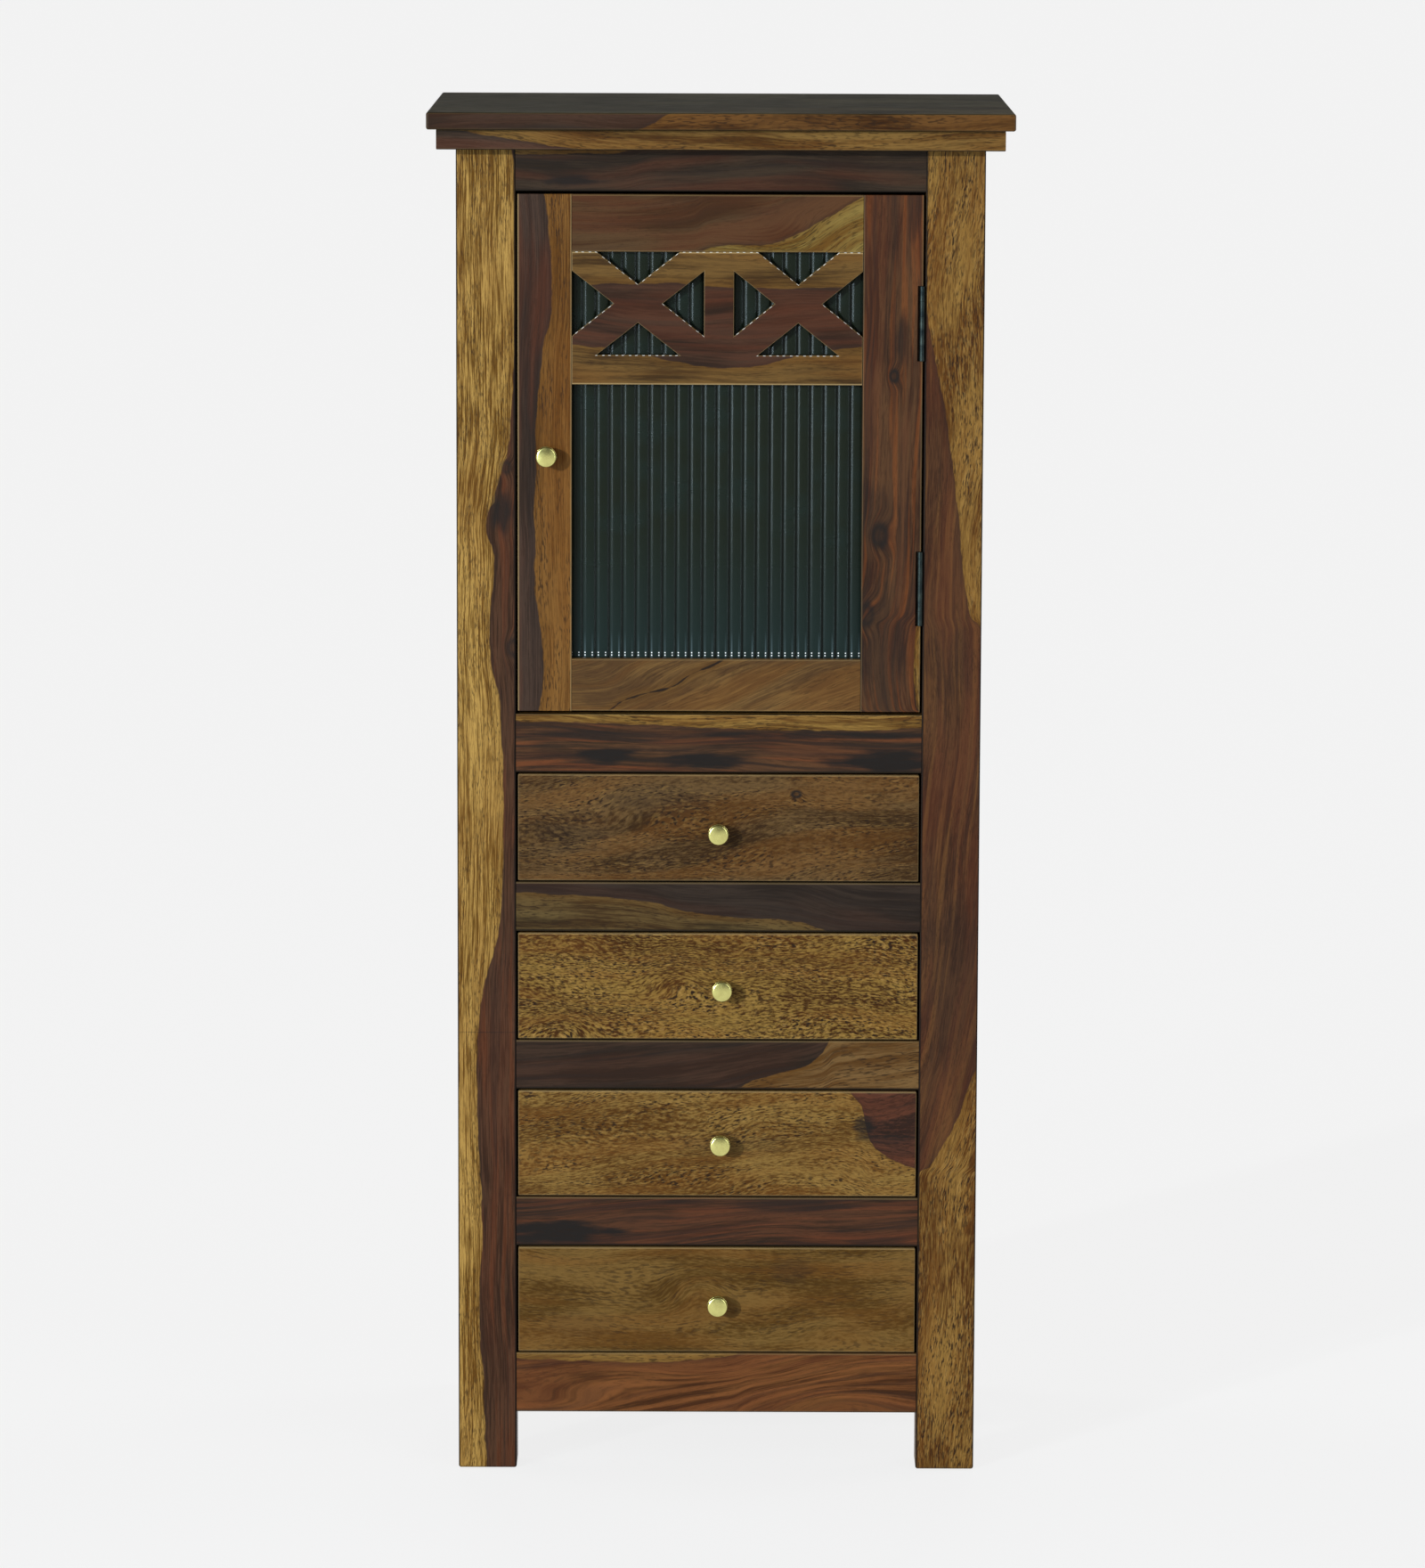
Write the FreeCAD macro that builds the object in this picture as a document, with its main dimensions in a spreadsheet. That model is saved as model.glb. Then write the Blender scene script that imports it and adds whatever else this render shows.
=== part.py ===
import FreeCAD, Part
import os
import re

import Sketcher

# Tall wooden display cabinet, in millimetres. +Z is up, the front faces -Y, and the origin is on the
# floor under the middle of the top board.

SIZES = {
    # Top board and the cornice frame under it
    "overall_wide": 610.0,
    "overall_deep": 406.0,
    "overall_high": 1448.0,
    "top_thick": 18.0,
    "top_round": 2.5,
    "top_over_side": 29.5,
    "top_over_front": 31.0,
    "top_over_back": 6.0,
    "cornice_thick": 21.0,
    "cornice_over_side": 19.5,
    "cornice_over_front": 21.0,
    "cornice_over_back": 2.0,
    "cornice_board_wide": 88.0,
    "edge_round": 1.2,
    # Posts, and the tenons that the rails have in them
    "post_wide": 62.0,
    "post_deep": 45.0,
    "back_post_wide": 45.0,
    "back_post_deep": 40.0,
    "foot_round": 3.0,
    "tenon_long": 20.0,
    "tenon_thick": 10.0,
    "tenon_shoulder": 10.0,
    # Front rails and the openings between them, from the floor up
    "foot_gap": 62.0,
    "apron_high": 64.5,
    "drawer_open_high": 117.5,
    "drawer_rail_high": 52.5,
    "door_sill_high": 62.5,
    "top_rail_high": 44.0,
    # Side and back frames with their floating panels
    "side_rail_thick": 22.0,
    "side_top_high": 64.0,
    "panel_thick": 9.0,
    "back_panel_thick": 6.0,
    "groove_deep": 8.0,
    "panel_ease": 0.5,
    # Cupboard floor and shelf on their cleats
    "floor_thick": 18.0,
    "shelf_thick": 18.0,
    "shelf_over_lattice": 6.2,
    "shelf_ease": 2.0,
    "cleat_wide": 20.0,
    "cleat_high": 20.0,
    # Runner, guide strip and stop block beside each drawer
    "runner_wide": 55.0,
    "runner_high": 20.0,
    "runner_lap": 2.5,
    "guide_high": 20.0,
    "guide_clear": 1.0,
    "stop_high": 15.0,
    "stop_deep": 8.7,
    "slide_clear": 0.3,
    # Drawer front and box
    "front_thick": 20.0,
    "front_gap_side": 2.0,
    "front_gap_top": 2.0,
    "front_gap_bottom": 1.5,
    "drawer_inset": 2.0,
    "drawer_side_thick": 12.0,
    "drawer_side_high": 104.0,
    "drawer_back_drop": 6.0,
    "drawer_lap": 8.0,
    "drawer_bottom_thick": 6.0,
    "drawer_bottom_rise": 8.0,
    "drawer_groove": 5.0,
    # Door
    "door_thick": 20.0,
    "door_gap_side": 2.0,
    "door_gap_end": 3.0,
    "stile_left_wide": 56.8,
    "stile_right_wide": 62.9,
    "door_top_rail_high": 59.7,
    "door_bottom_rail_high": 55.3,
    "door_tenon_long": 25.0,
    "door_tenon_thick": 8.0,
    "door_tenon_shoulder": 12.0,
    "rabbet_wide": 8.0,
    # Lattice board
    "lattice_high": 138.5,
    "lattice_thick": 10.0,
    "lattice_band": 30.7,
    "lattice_bar": 31.1,
    "left_field_share": 0.50625,
    "lattice_arm_half": 19.9,
    "lattice_round": 0.7,
    "tongue_long": 10.0,
    "tongue_thick": 5.0,
    "tongue_high": 18.0,
    # Fluted glass and the beads behind it
    "glass_lap": 5.0,
    "glass_web": 3.5,
    "flute_pitch": 14.03,
    "flute_rise": 1.5,
    "glass_ease": 0.2,
    # Butt hinges
    "hinge_high": 78.0,
    "lower_hinge_share": 0.1723,
    "upper_hinge_share": 0.1778,
    "hinge_leaf_wide": 19.0,
    "hinge_leaf_thick": 1.8,
    "knuckle_radius": 3.0,
    "knuckle_count": 5,
    "knuckle_gap": 0.2,
    "hinge_pin_radius": 1.5,
    "hinge_pin_clear": 0.05,
    "hinge_proud": 0.6,
    "hinge_notch_ease": 0.4,
    "barrel_notch": 4.8,
    "barrel_notch_deep": 7.0,
    "hinge_screw_rise": 14.0,
    "hinge_screw_back": 12.0,
    # Screws
    "screw_head_radius": 3.4,
    "screw_head_high": 1.6,
    "screw_radius": 1.6,
    "screw_long": 16.0,
    "top_screw_long": 33.0,
    "top_screw_side_share": 0.3,
    # Knobs with their screws
    "knob_head_radius": 10.6,
    "knob_head_high": 4.6,
    "knob_head_round": 1.6,
    "knob_groove_radius": 8.6,
    "knob_groove_high": 1.6,
    "knob_collar_radius": 10.8,
    "knob_collar_high": 4.4,
    "knob_collar_round": 1.8,
    "knob_neck_radius": 5.5,
    "knob_neck_high": 6.6,
    "knob_base_radius": 8.0,
    "knob_base_high": 2.4,
    "knob_screw_radius": 2.0,
    "knob_screw_bite": 9.0,
    "knob_screw_head_radius": 4.0,
    "knob_screw_head_high": 2.4,
    "door_knob_inset": 30.2,
    "door_knob_low": 1.55,
    "knob_shift_1": 0.0,
    "knob_shift_2": 4.3,
    "knob_shift_3": 3.0,
    "knob_shift_4": 0.8,
    "knob_drop_1": 5.0,
    "knob_drop_2": 2.8,
    "knob_drop_3": -0.5,
    "knob_drop_4": 4.1,
    # Magnetic catch and its strike plate
    "catch_wide": 12.0,
    "catch_deep": 16.0,
    "catch_high": 46.0,
    "catch_screw_rise": 9.0,
    "plate_thick": 1.0,
    "plate_high": 36.0,
    "plate_wide": 9.0,
    "plate_inset": 1.0,
    # One overrun serves all cuts
    "overrun": 1.0,
}

# Lengths and levels that follow from the sizes above
DERIVED = {
    "case_wide": "overall_wide - 2 * top_over_side",
    "case_front": "top_over_front - overall_deep / 2",
    "case_back": "overall_deep / 2 - top_over_back",
    "case_deep": "case_back - case_front",
    "post_top": "overall_high - top_thick - cornice_thick",
    "opening_wide": "case_wide - 2 * post_wide",
    "between_posts": "case_deep - post_deep - back_post_deep",
    "drawer_pitch": "drawer_open_high + drawer_rail_high",
    "lowest_opening": "foot_gap + apron_high",
    "sill_bottom": "lowest_opening + 4 * drawer_open_high + 3 * drawer_rail_high",
    "door_opening": "sill_bottom + door_sill_high",
    "top_rail_bottom": "post_top - top_rail_high",
    "door_open_high": "top_rail_bottom - door_opening",
    "side_top_bottom": "post_top - side_top_high",
    "rail_back": "case_front + post_deep",
    "back_post_front": "case_back - back_post_deep",
    "back_wide": "case_wide - 2 * back_post_wide",
    "back_rail_front": "case_back - side_rail_thick",
    "inner_half": "case_wide / 2 - side_rail_thick",
    "panel_inner": "case_wide / 2 - side_rail_thick / 2 - panel_thick / 2",
    "front_wide": "opening_wide - 2 * front_gap_side",
    "front_high": "drawer_open_high - front_gap_top - front_gap_bottom",
    "box_half": "front_wide / 2 - drawer_inset",
    "box_inner": "box_half - drawer_side_thick",
    "box_front": "front_thick - drawer_lap",
    "drawer_deep": "back_post_front - case_front - stop_deep - slide_clear",
    "runner_inner": "box_inner - runner_lap",
    "door_wide": "opening_wide - 2 * door_gap_side",
    "door_high": "door_open_high - 2 * door_gap_end",
    "door_left": "door_gap_side - opening_wide / 2",
    "door_bottom": "door_opening + door_gap_end",
    "door_inner_wide": "door_wide - stile_left_wide - stile_right_wide",
    "door_inner_left": "door_left + stile_left_wide",
    "door_top_rail_bottom": "door_bottom + door_high - door_top_rail_high",
    "glass_open_bottom": "door_bottom + door_bottom_rail_high",
    "glass_open_high": "door_top_rail_bottom - glass_open_bottom",
    "rabbet_front": "case_front + lattice_thick",
    "rabbet_deep": "door_thick - lattice_thick",
    "lattice_bottom": "door_top_rail_bottom - lattice_high",
    "field_half_high": "lattice_high / 2 - lattice_band / 2",
    "lattice_left_field": "left_field_share * (door_inner_wide - lattice_bar)",
    "lattice_right_field": "door_inner_wide - lattice_bar - lattice_left_field",
    "shelf_bottom": "lattice_bottom + shelf_over_lattice",
    "glass_wide": "door_inner_wide + 2 * glass_lap",
    "flute_count": "floor(glass_wide / flute_pitch)",
    "flute_start": "glass_wide / 2 - flute_count * flute_pitch / 2",
    "flute_radius": "(flute_pitch * flute_pitch / 4 + flute_rise * flute_rise) / (2 * flute_rise)",
    "glass_front": "rabbet_front + glass_ease + flute_rise",
    "bead_deep": "rabbet_deep - glass_ease - flute_rise - glass_web",
    "hinge_x": "opening_wide / 2 - knuckle_radius",
    "hinge_y": "case_front - hinge_proud",
    "hinge_bottom": "door_opening + lower_hinge_share * door_open_high",
    "hinge_spacing": "top_rail_bottom - upper_hinge_share * door_open_high - hinge_high - hinge_bottom",
    "knuckle_high": "hinge_high / knuckle_count",
    "bore_radius": "hinge_pin_radius + hinge_pin_clear",
    "knob_collar_rise": "knob_base_high + knob_neck_high",
    "knob_groove_rise": "knob_collar_rise + knob_collar_high",
    "knob_head_rise": "knob_groove_rise + knob_groove_high",
    "stile_right_left": "door_inner_left + door_inner_wide",
    "door_knob_rise": "door_high / 2 - door_knob_low",
    "catch_bottom": "door_opening + door_open_high / 2 - catch_high / 2",
    "catch_front": "case_front + door_thick + plate_thick + slide_clear",
}

DRAWERS = 4
# Below this, two places count as one
TOUCH = 1e-4
ALONG = {
    "x": FreeCAD.Rotation(FreeCAD.Vector(0, 1, 0), 90),
    "-x": FreeCAD.Rotation(FreeCAD.Vector(0, 1, 0), -90),
    "y": FreeCAD.Rotation(FreeCAD.Vector(1, 0, 0), -90),
    "-y": FreeCAD.Rotation(FreeCAD.Vector(1, 0, 0), 90),
    "z": FreeCAD.Rotation(),
    "-z": FreeCAD.Rotation(FreeCAD.Vector(1, 0, 0), 180),
}

doc = FreeCAD.newDocument("display_cabinet")
sheet = doc.addObject("Spreadsheet::Sheet", "Sizes")
for row, (alias, value) in enumerate(SIZES.items(), start=1):
    sheet.set(f"A{row}", alias)
    sheet.set(f"B{row}", str(value))
    sheet.setAlias(f"B{row}", alias)
doc.recompute()

nodes = []


def spell_out(found):
    """Write a derived length as its own formula, and a size as its cell."""
    word = found[0]
    if word in DERIVED:
        return "(" + formula(DERIVED[word]) + ")"
    return "Sizes." + word if word in SIZES else word


def formula(text):
    """Turn a formula in plain words into one that the sheet can work out."""
    return re.sub(r"[a-z][a-z_0-9]*", spell_out, text)


def bind(thing, **formulas):
    """Tie each property of a thing to a formula in the sheet's sizes."""
    for name, text in formulas.items():
        thing.setExpression(name, formula(text))


def place(thing, x, y, z):
    """Put a thing's own origin at x, y, z."""
    for axis, text in zip("xyz", (x, y, z)):
        thing.setExpression("Placement.Base." + axis, formula(text))


def new_body(name, x="0", y="0", z="0"):
    """Start a piece whose own origin is at x, y, z."""
    body = doc.addObject("PartDesign::Body", name)
    body.Label = name
    place(body, x, y, z)
    return body


def solid(body, form, name, cut):
    """Add one of the plain solid forms to a body, or cut it out of it."""
    return body.newObject(f"PartDesign::{'Subtractive' if cut else 'Additive'}{form}", name)


def block(body, name, size, at=("0", "0", "0"), cut=False):
    """Add or cut a square block with its low corner at a place in its body."""
    box = solid(body, "Box", name, cut)
    bind(box, Length=size[0], Width=size[1], Height=size[2])
    place(box, *at)
    return box


def rod(body, name, radius, high, at=("0", "0", "0"), along="z", cut=False):
    """Add or cut a cylinder that starts at a place and runs along an axis."""
    cylinder = solid(body, "Cylinder", name, cut)
    bind(cylinder, Radius=radius, Height=high)
    cylinder.Placement.Rotation = ALONG[along]
    place(cylinder, *at)
    return cylinder


def cone(body, name, radii, high, at, along, cut=False):
    """Add or cut a cone from its first radius to its second."""
    taper = solid(body, "Cone", name, cut)
    bind(taper, Radius1=radii[0], Radius2=radii[1], Height=high)
    taper.Placement.Rotation = ALONG[along]
    place(taper, *at)
    return taper


def round_edges(body, name, radius, wanted):
    """Round the edges of a body's last feature that wanted(edge) picks."""
    doc.recompute()
    last = body.Tip
    picked = [f"Edge{count}" for count, edge in enumerate(last.Shape.Edges, start=1) if wanted(edge)]
    fillet = body.newObject("PartDesign::Fillet", name)
    fillet.Base = (last, picked)
    bind(fillet, Radius=radius)
    return fillet


def runs_along(edge, axis):
    """Tell whether an edge is straight and parallel to an axis."""
    first, last = edge.Vertexes[0].Point, edge.Vertexes[-1].Point
    return abs(getattr(last - first, axis)) > edge.Length - TOUCH


def keep(thing):
    """Hand a finished piece over as a node."""
    nodes.append(thing)
    return thing


def group(name, pieces):
    """Hand several like pieces over as one node of separate solids."""
    compound = doc.addObject("Part::Compound", name)
    compound.Label = name
    compound.Links = pieces
    return keep(compound)


def board(name, size, at, grain="x"):
    """Make a board with the edges along its grain eased."""
    body = new_body(name, *at)
    block(body, "plank", size)
    round_edges(body, "eased", "edge_round", lambda edge: runs_along(edge, grain))
    return body


def sink_screw_hole(body, name, deep, at, along):
    """Cut a countersunk screw hole that starts at a place."""
    radii = ("screw_head_radius", "screw_radius")
    cone(body, f"{name}_sink", radii, "screw_head_high", at, along, cut=True)
    rod(body, f"{name}_hole", "screw_radius", deep, at, along, cut=True)


def wood_screw(name, at, along, long="screw_long"):
    """Make a countersunk screw whose head is flush at a place."""
    body = new_body(name, *at)
    cone(body, "head", ("screw_head_radius", "screw_radius"), "screw_head_high", ("0", "0", "0"), along)
    rod(body, "shank", "screw_radius", long, ("0", "0", "0"), along)
    return body


def make_top():
    """The top board: one wide board with rounded edges, bored from below for its screws."""
    at = ("-overall_wide / 2", "-overall_deep / 2", "overall_high - top_thick")
    body = new_body("top_board", *at)
    block(body, "plank", ("overall_wide", "overall_deep", "top_thick"))
    round_edges(body, "eased", "top_round", lambda edge: True)
    deep = "top_screw_long - cornice_thick"
    for count, (x, y) in enumerate(top_screw_places()):
        start = (f"overall_wide / 2 + {x}", f"overall_deep / 2 + {y}", "0")
        rod(body, f"screw_hole_{count}", "screw_radius", deep, start, "z", cut=True)
    keep(body)


def top_screw_places():
    """Where screws go up through the cornice boards, inside the rails, as x and y formulas."""
    front = "case_front + post_deep + (cornice_board_wide - cornice_over_front - post_deep) / 2"
    back = "back_rail_front - (cornice_board_wide + cornice_over_back - side_rail_thick) / 4"
    side = "inner_half - side_rail_thick"
    reach = "overall_wide * top_screw_side_share"
    middle = "(case_front + case_back) / 2"
    places = []
    for sign in ("-1", "1"):
        places.append((f"{sign} * {reach}", front))
        places.append((f"{sign} * {reach}", back))
        places.append((f"{sign} * ({side})", middle))
    return places


def make_cornice():
    """Four boards mitred into a frame under the top board, and the screws that hold the top."""
    half_wide = "case_wide / 2 + cornice_over_side"
    front = "case_front - cornice_over_front"
    back = "case_back + cornice_over_back"
    half_deep = "(case_deep + cornice_over_front + cornice_over_back) / 2"
    middle = "(case_front - cornice_over_front + case_back + cornice_over_back) / 2"
    boards = [
        ("cornice_front", half_wide, "0", front, 0),
        ("cornice_back", half_wide, "0", back, 180),
        ("cornice_left", half_deep, f"-({half_wide})", middle, -90),
        ("cornice_right", half_deep, half_wide, middle, 90),
    ]
    bodies = {}
    for name, half_long, x, y, turn in boards:
        body = new_body(name)
        wedge = body.newObject("PartDesign::AdditiveWedge", "mitred")
        short = f"{half_long} - cornice_board_wide"
        bind(wedge, Xmin=f"-({half_long})", Xmax=half_long, X2min=f"-({short})", X2max=short)
        bind(wedge, Ymin="0", Ymax="cornice_board_wide", Zmin="0", Z2min="0")
        bind(wedge, Zmax="cornice_thick", Z2max="cornice_thick")
        wedge.Placement.Rotation = FreeCAD.Rotation(FreeCAD.Vector(0, 0, 1), turn)
        place(wedge, x, y, "post_top")
        doc.recompute()
        outer = max(edge.Length for edge in wedge.Shape.Edges)
        round_edges(body, "eased", "edge_round", lambda edge: edge.Length > outer - edge.Tolerance)
        bodies[name] = keep(body)
    owners = ["front", "back", "left", "front", "back", "right"]
    screws = []
    for count, (owner, (x, y)) in enumerate(zip(owners, top_screw_places())):
        start = (x, y, "post_top")
        sink_screw_hole(bodies[f"cornice_{owner}"], f"screw_{count}", "cornice_thick", start, "z")
        screws.append(wood_screw(f"top_screw_{count}", start, "z", "top_screw_long"))
    group("top_screws", screws)


def front_rails():
    """Name, bottom and height of each rail between the front posts."""
    rails = [("rail_bottom", "foot_gap", "apron_high")]
    for count, name in enumerate(["rail_drawer_lower", "rail_drawer_middle", "rail_drawer_upper"]):
        bottom = f"lowest_opening + drawer_open_high + {count} * drawer_pitch"
        rails.append((name, bottom, "drawer_rail_high"))
    rails.append(("rail_under_door", "sill_bottom", "door_sill_high"))
    rails.append(("rail_top", "top_rail_bottom", "top_rail_high"))
    return rails


def frame_rails():
    """Bottom and height of each rail in the side and back frames."""
    return [
        ("foot_gap", "apron_high"),
        ("sill_bottom", "door_sill_high"),
        ("side_top_bottom", "side_top_high"),
    ]


def make_posts():
    """Four posts that are also the feet, mortised for the rails and grooved for the panels."""
    mortise_high = "{} - 2 * tenon_shoulder"
    for side, sign in (("left", -1), ("right", 1)):
        front = new_body(f"post_front_{side}", "0", "case_front", "0")
        low = "-case_wide / 2" if sign < 0 else "case_wide / 2 - post_wide"
        block(front, "post", ("post_wide", "post_deep", "post_top"), (low, "0", "0"))
        shape_post(front)
        inner = "-opening_wide / 2 - tenon_long" if sign < 0 else "opening_wide / 2"
        for count, (name, bottom, high) in enumerate(front_rails()):
            size = ("tenon_long", "tenon_thick", mortise_high.format(high))
            at = (inner, "post_deep / 2 - tenon_thick / 2", f"{bottom} + tenon_shoulder")
            block(front, f"mortise_{count}", size, at, cut=True)
        cut_side_joints(front, sign, "post_deep - tenon_long", "post_deep - groove_deep")
        keep(front)

        back = new_body(f"post_back_{side}", "0", "back_post_front", "0")
        low = "-case_wide / 2" if sign < 0 else "case_wide / 2 - back_post_wide"
        block(back, "post", ("back_post_wide", "back_post_deep", "post_top"), (low, "0", "0"))
        shape_post(back)
        inner = "-back_wide / 2 - tenon_long" if sign < 0 else "back_wide / 2"
        middle = "back_post_deep - side_rail_thick / 2"
        for count, (bottom, high) in enumerate(frame_rails()):
            size = ("tenon_long", "tenon_thick", mortise_high.format(high))
            at = (inner, f"{middle} - tenon_thick / 2", f"{bottom} + tenon_shoulder")
            block(back, f"back_mortise_{count}", size, at, cut=True)
        inner = "-back_wide / 2 - groove_deep" if sign < 0 else "back_wide / 2"
        size = ("groove_deep", "back_panel_thick", "post_top - foot_gap")
        block(back, "back_groove", size, (inner, f"{middle} - back_panel_thick / 2", "foot_gap"), cut=True)
        cut_side_joints(back, sign, "0", "0")
        keep(back)


def shape_post(body):
    """Round a post's foot, then ease its long edges."""
    round_edges(body, "foot", "foot_round", lambda edge: edge.BoundBox.ZMax < TOUCH)
    round_edges(body, "eased", "edge_round", lambda edge: runs_along(edge, "z"))


def cut_side_joints(body, sign, mortise_y, groove_y):
    """Cut a post's mortises for the side rails and its groove for the side panels."""
    middle = "{} * (case_wide / 2 - side_rail_thick / 2)".format(sign)
    for count, (bottom, high) in enumerate(frame_rails()):
        size = ("tenon_thick", "tenon_long", f"{high} - 2 * tenon_shoulder")
        at = (f"{middle} - tenon_thick / 2", mortise_y, f"{bottom} + tenon_shoulder")
        block(body, f"side_mortise_{count}", size, at, cut=True)
    size = ("panel_thick", "groove_deep", "post_top - foot_gap")
    block(body, "side_groove", size, (f"{middle} - panel_thick / 2", groove_y, "foot_gap"), cut=True)


def make_front_rails():
    """The rails between the front posts, each with a tenon at both ends."""
    for name, bottom, high in front_rails():
        body = board(name, ("opening_wide", "post_deep", high), ("-opening_wide / 2", "case_front", bottom))
        size = ("opening_wide + 2 * tenon_long", "tenon_thick", f"{high} - 2 * tenon_shoulder")
        block(body, "tenons", size, ("-tenon_long", "post_deep / 2 - tenon_thick / 2", "tenon_shoulder"))
        keep(body)


def make_side_frames():
    """Rails and floating panels between the front and the back posts."""
    for side, sign in (("left", -1), ("right", 1)):
        outer = "-case_wide / 2" if sign < 0 else "case_wide / 2 - side_rail_thick"
        rails = []
        for count, (bottom, high) in enumerate(frame_rails()):
            size = ("side_rail_thick", "between_posts", high)
            body = board(f"side_rail_{side}_{count}", size, (outer, "rail_back", bottom), "y")
            size = ("tenon_thick", "between_posts + 2 * tenon_long", f"{high} - 2 * tenon_shoulder")
            at = ("side_rail_thick / 2 - tenon_thick / 2", "-tenon_long", "tenon_shoulder")
            block(body, "tenons", size, at)
            low = "side_rail_thick / 2 - panel_thick / 2"
            size = ("panel_thick", "between_posts + 2 * tenon_long", "groove_deep")
            if count > 0:
                block(body, "groove_below", size, (low, "-tenon_long", "0"), cut=True)
            if count < 2:
                block(body, "groove_above", size, (low, "-tenon_long", f"{high} - groove_deep"), cut=True)
            rails.append(body)
        group(f"side_rails_{side}", rails)
        panels = []
        for count, (bottom, top) in enumerate(panel_openings()):
            body = new_body(f"side_panel_{side}_{count}", f"{outer} + side_rail_thick / 2 - panel_thick / 2",
                            "rail_back - groove_deep + panel_ease", f"{bottom} - groove_deep + panel_ease")
            high = f"{top} - ({bottom}) + 2 * groove_deep - 2 * panel_ease"
            block(body, "panel", ("panel_thick", "between_posts + 2 * groove_deep - 2 * panel_ease", high))
            panels.append(body)
        group(f"side_panels_{side}", panels)


def panel_openings():
    """Bottom and top of the two panel openings in a side or back frame."""
    return [("lowest_opening", "sill_bottom"), ("door_opening", "side_top_bottom")]


def make_back_frame():
    """Rails and thin panels between the back posts."""
    rails = []
    for count, (bottom, high) in enumerate(frame_rails()):
        size = ("back_wide", "side_rail_thick", high)
        body = board(f"back_rail_{count}", size, ("-back_wide / 2", "back_rail_front", bottom))
        size = ("back_wide + 2 * tenon_long", "tenon_thick", f"{high} - 2 * tenon_shoulder")
        at = ("-tenon_long", "side_rail_thick / 2 - tenon_thick / 2", "tenon_shoulder")
        block(body, "tenons", size, at)
        low = "side_rail_thick / 2 - back_panel_thick / 2"
        size = ("back_wide + 2 * tenon_long", "back_panel_thick", "groove_deep")
        if count > 0:
            block(body, "groove_below", size, ("-tenon_long", low, "0"), cut=True)
        if count < 2:
            block(body, "groove_above", size, ("-tenon_long", low, f"{high} - groove_deep"), cut=True)
        rails.append(body)
    group("back_rails", rails)
    panels = []
    for count, (bottom, top) in enumerate(panel_openings()):
        body = new_body(f"back_panel_{count}", "-back_wide / 2 - groove_deep + panel_ease",
                        "back_rail_front + side_rail_thick / 2 - back_panel_thick / 2",
                        f"{bottom} - groove_deep + panel_ease")
        high = f"{top} - ({bottom}) + 2 * groove_deep - 2 * panel_ease"
        block(body, "panel", ("back_wide + 2 * groove_deep - 2 * panel_ease", "back_panel_thick", high))
        panels.append(body)
    group("back_panels", panels)


def make_cupboard():
    """The cupboard's floor, notched round the back posts, its shelf, and the cleats under both."""
    size = ("2 * inner_half", "back_rail_front - rail_back", "floor_thick")
    floor = new_body("cupboard_floor", "-inner_half", "rail_back", "door_opening - floor_thick")
    block(floor, "board", size)
    notch = ("inner_half - back_wide / 2", "back_rail_front - back_post_front", "floor_thick")
    block(floor, "notch_left", notch, ("0", "between_posts", "0"), cut=True)
    block(floor, "notch_right", notch, ("inner_half + back_wide / 2", "between_posts", "0"), cut=True)
    keep(floor)

    size = ("2 * panel_inner - 2 * shelf_ease", "between_posts - 2 * shelf_ease", "shelf_thick")
    at = ("shelf_ease - panel_inner", "rail_back + shelf_ease", "shelf_bottom")
    keep(board("cupboard_shelf", size, at))

    cleats = []
    for name, outer, top in (("floor", "inner_half", "door_opening - floor_thick"),
                             ("shelf", "panel_inner", "shelf_bottom")):
        for side, low in (("left", f"-({outer})"), ("right", f"{outer} - cleat_wide")):
            body = new_body(f"{name}_cleat_{side}", low, "rail_back", f"{top} - cleat_high")
            block(body, "strip", ("cleat_wide", "between_posts", "cleat_high"))
            cleats.append(body)
    group("cupboard_cleats", cleats)


def opening_bottom(number):
    """Level of the bottom of a drawer's opening; drawer 1 is the highest."""
    return f"lowest_opening + {DRAWERS - number} * drawer_pitch"


def make_runners():
    """Beside each drawer: a runner that it slides on, a guide strip and a stop block at the back."""
    for side, sign in (("left", -1), ("right", 1)):
        strips = []
        for number in range(1, DRAWERS + 1):
            level = opening_bottom(number)
            outer = "(runner_inner + runner_wide)"
            stop_front = "(back_post_front - stop_deep)"
            spans = [
                ("runner", "runner_inner", outer, "rail_back", "-runner_high", "runner_high"),
                ("guide", "(box_half + guide_clear)", outer, "rail_back", "0", "guide_high"),
                ("stop", "box_inner", "box_half", stop_front, "0", "stop_high"),
            ]
            for name, near, far, front, rise, high in spans:
                low = near if sign > 0 else f"-{far}"
                body = new_body(f"{name}_{side}_{number}", low, front, f"{level} + {rise}")
                block(body, "strip", (f"{far} - {near}", f"back_post_front - {front}", high))
                strips.append(body)
        group(f"drawer_runners_{side}", strips)


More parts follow.
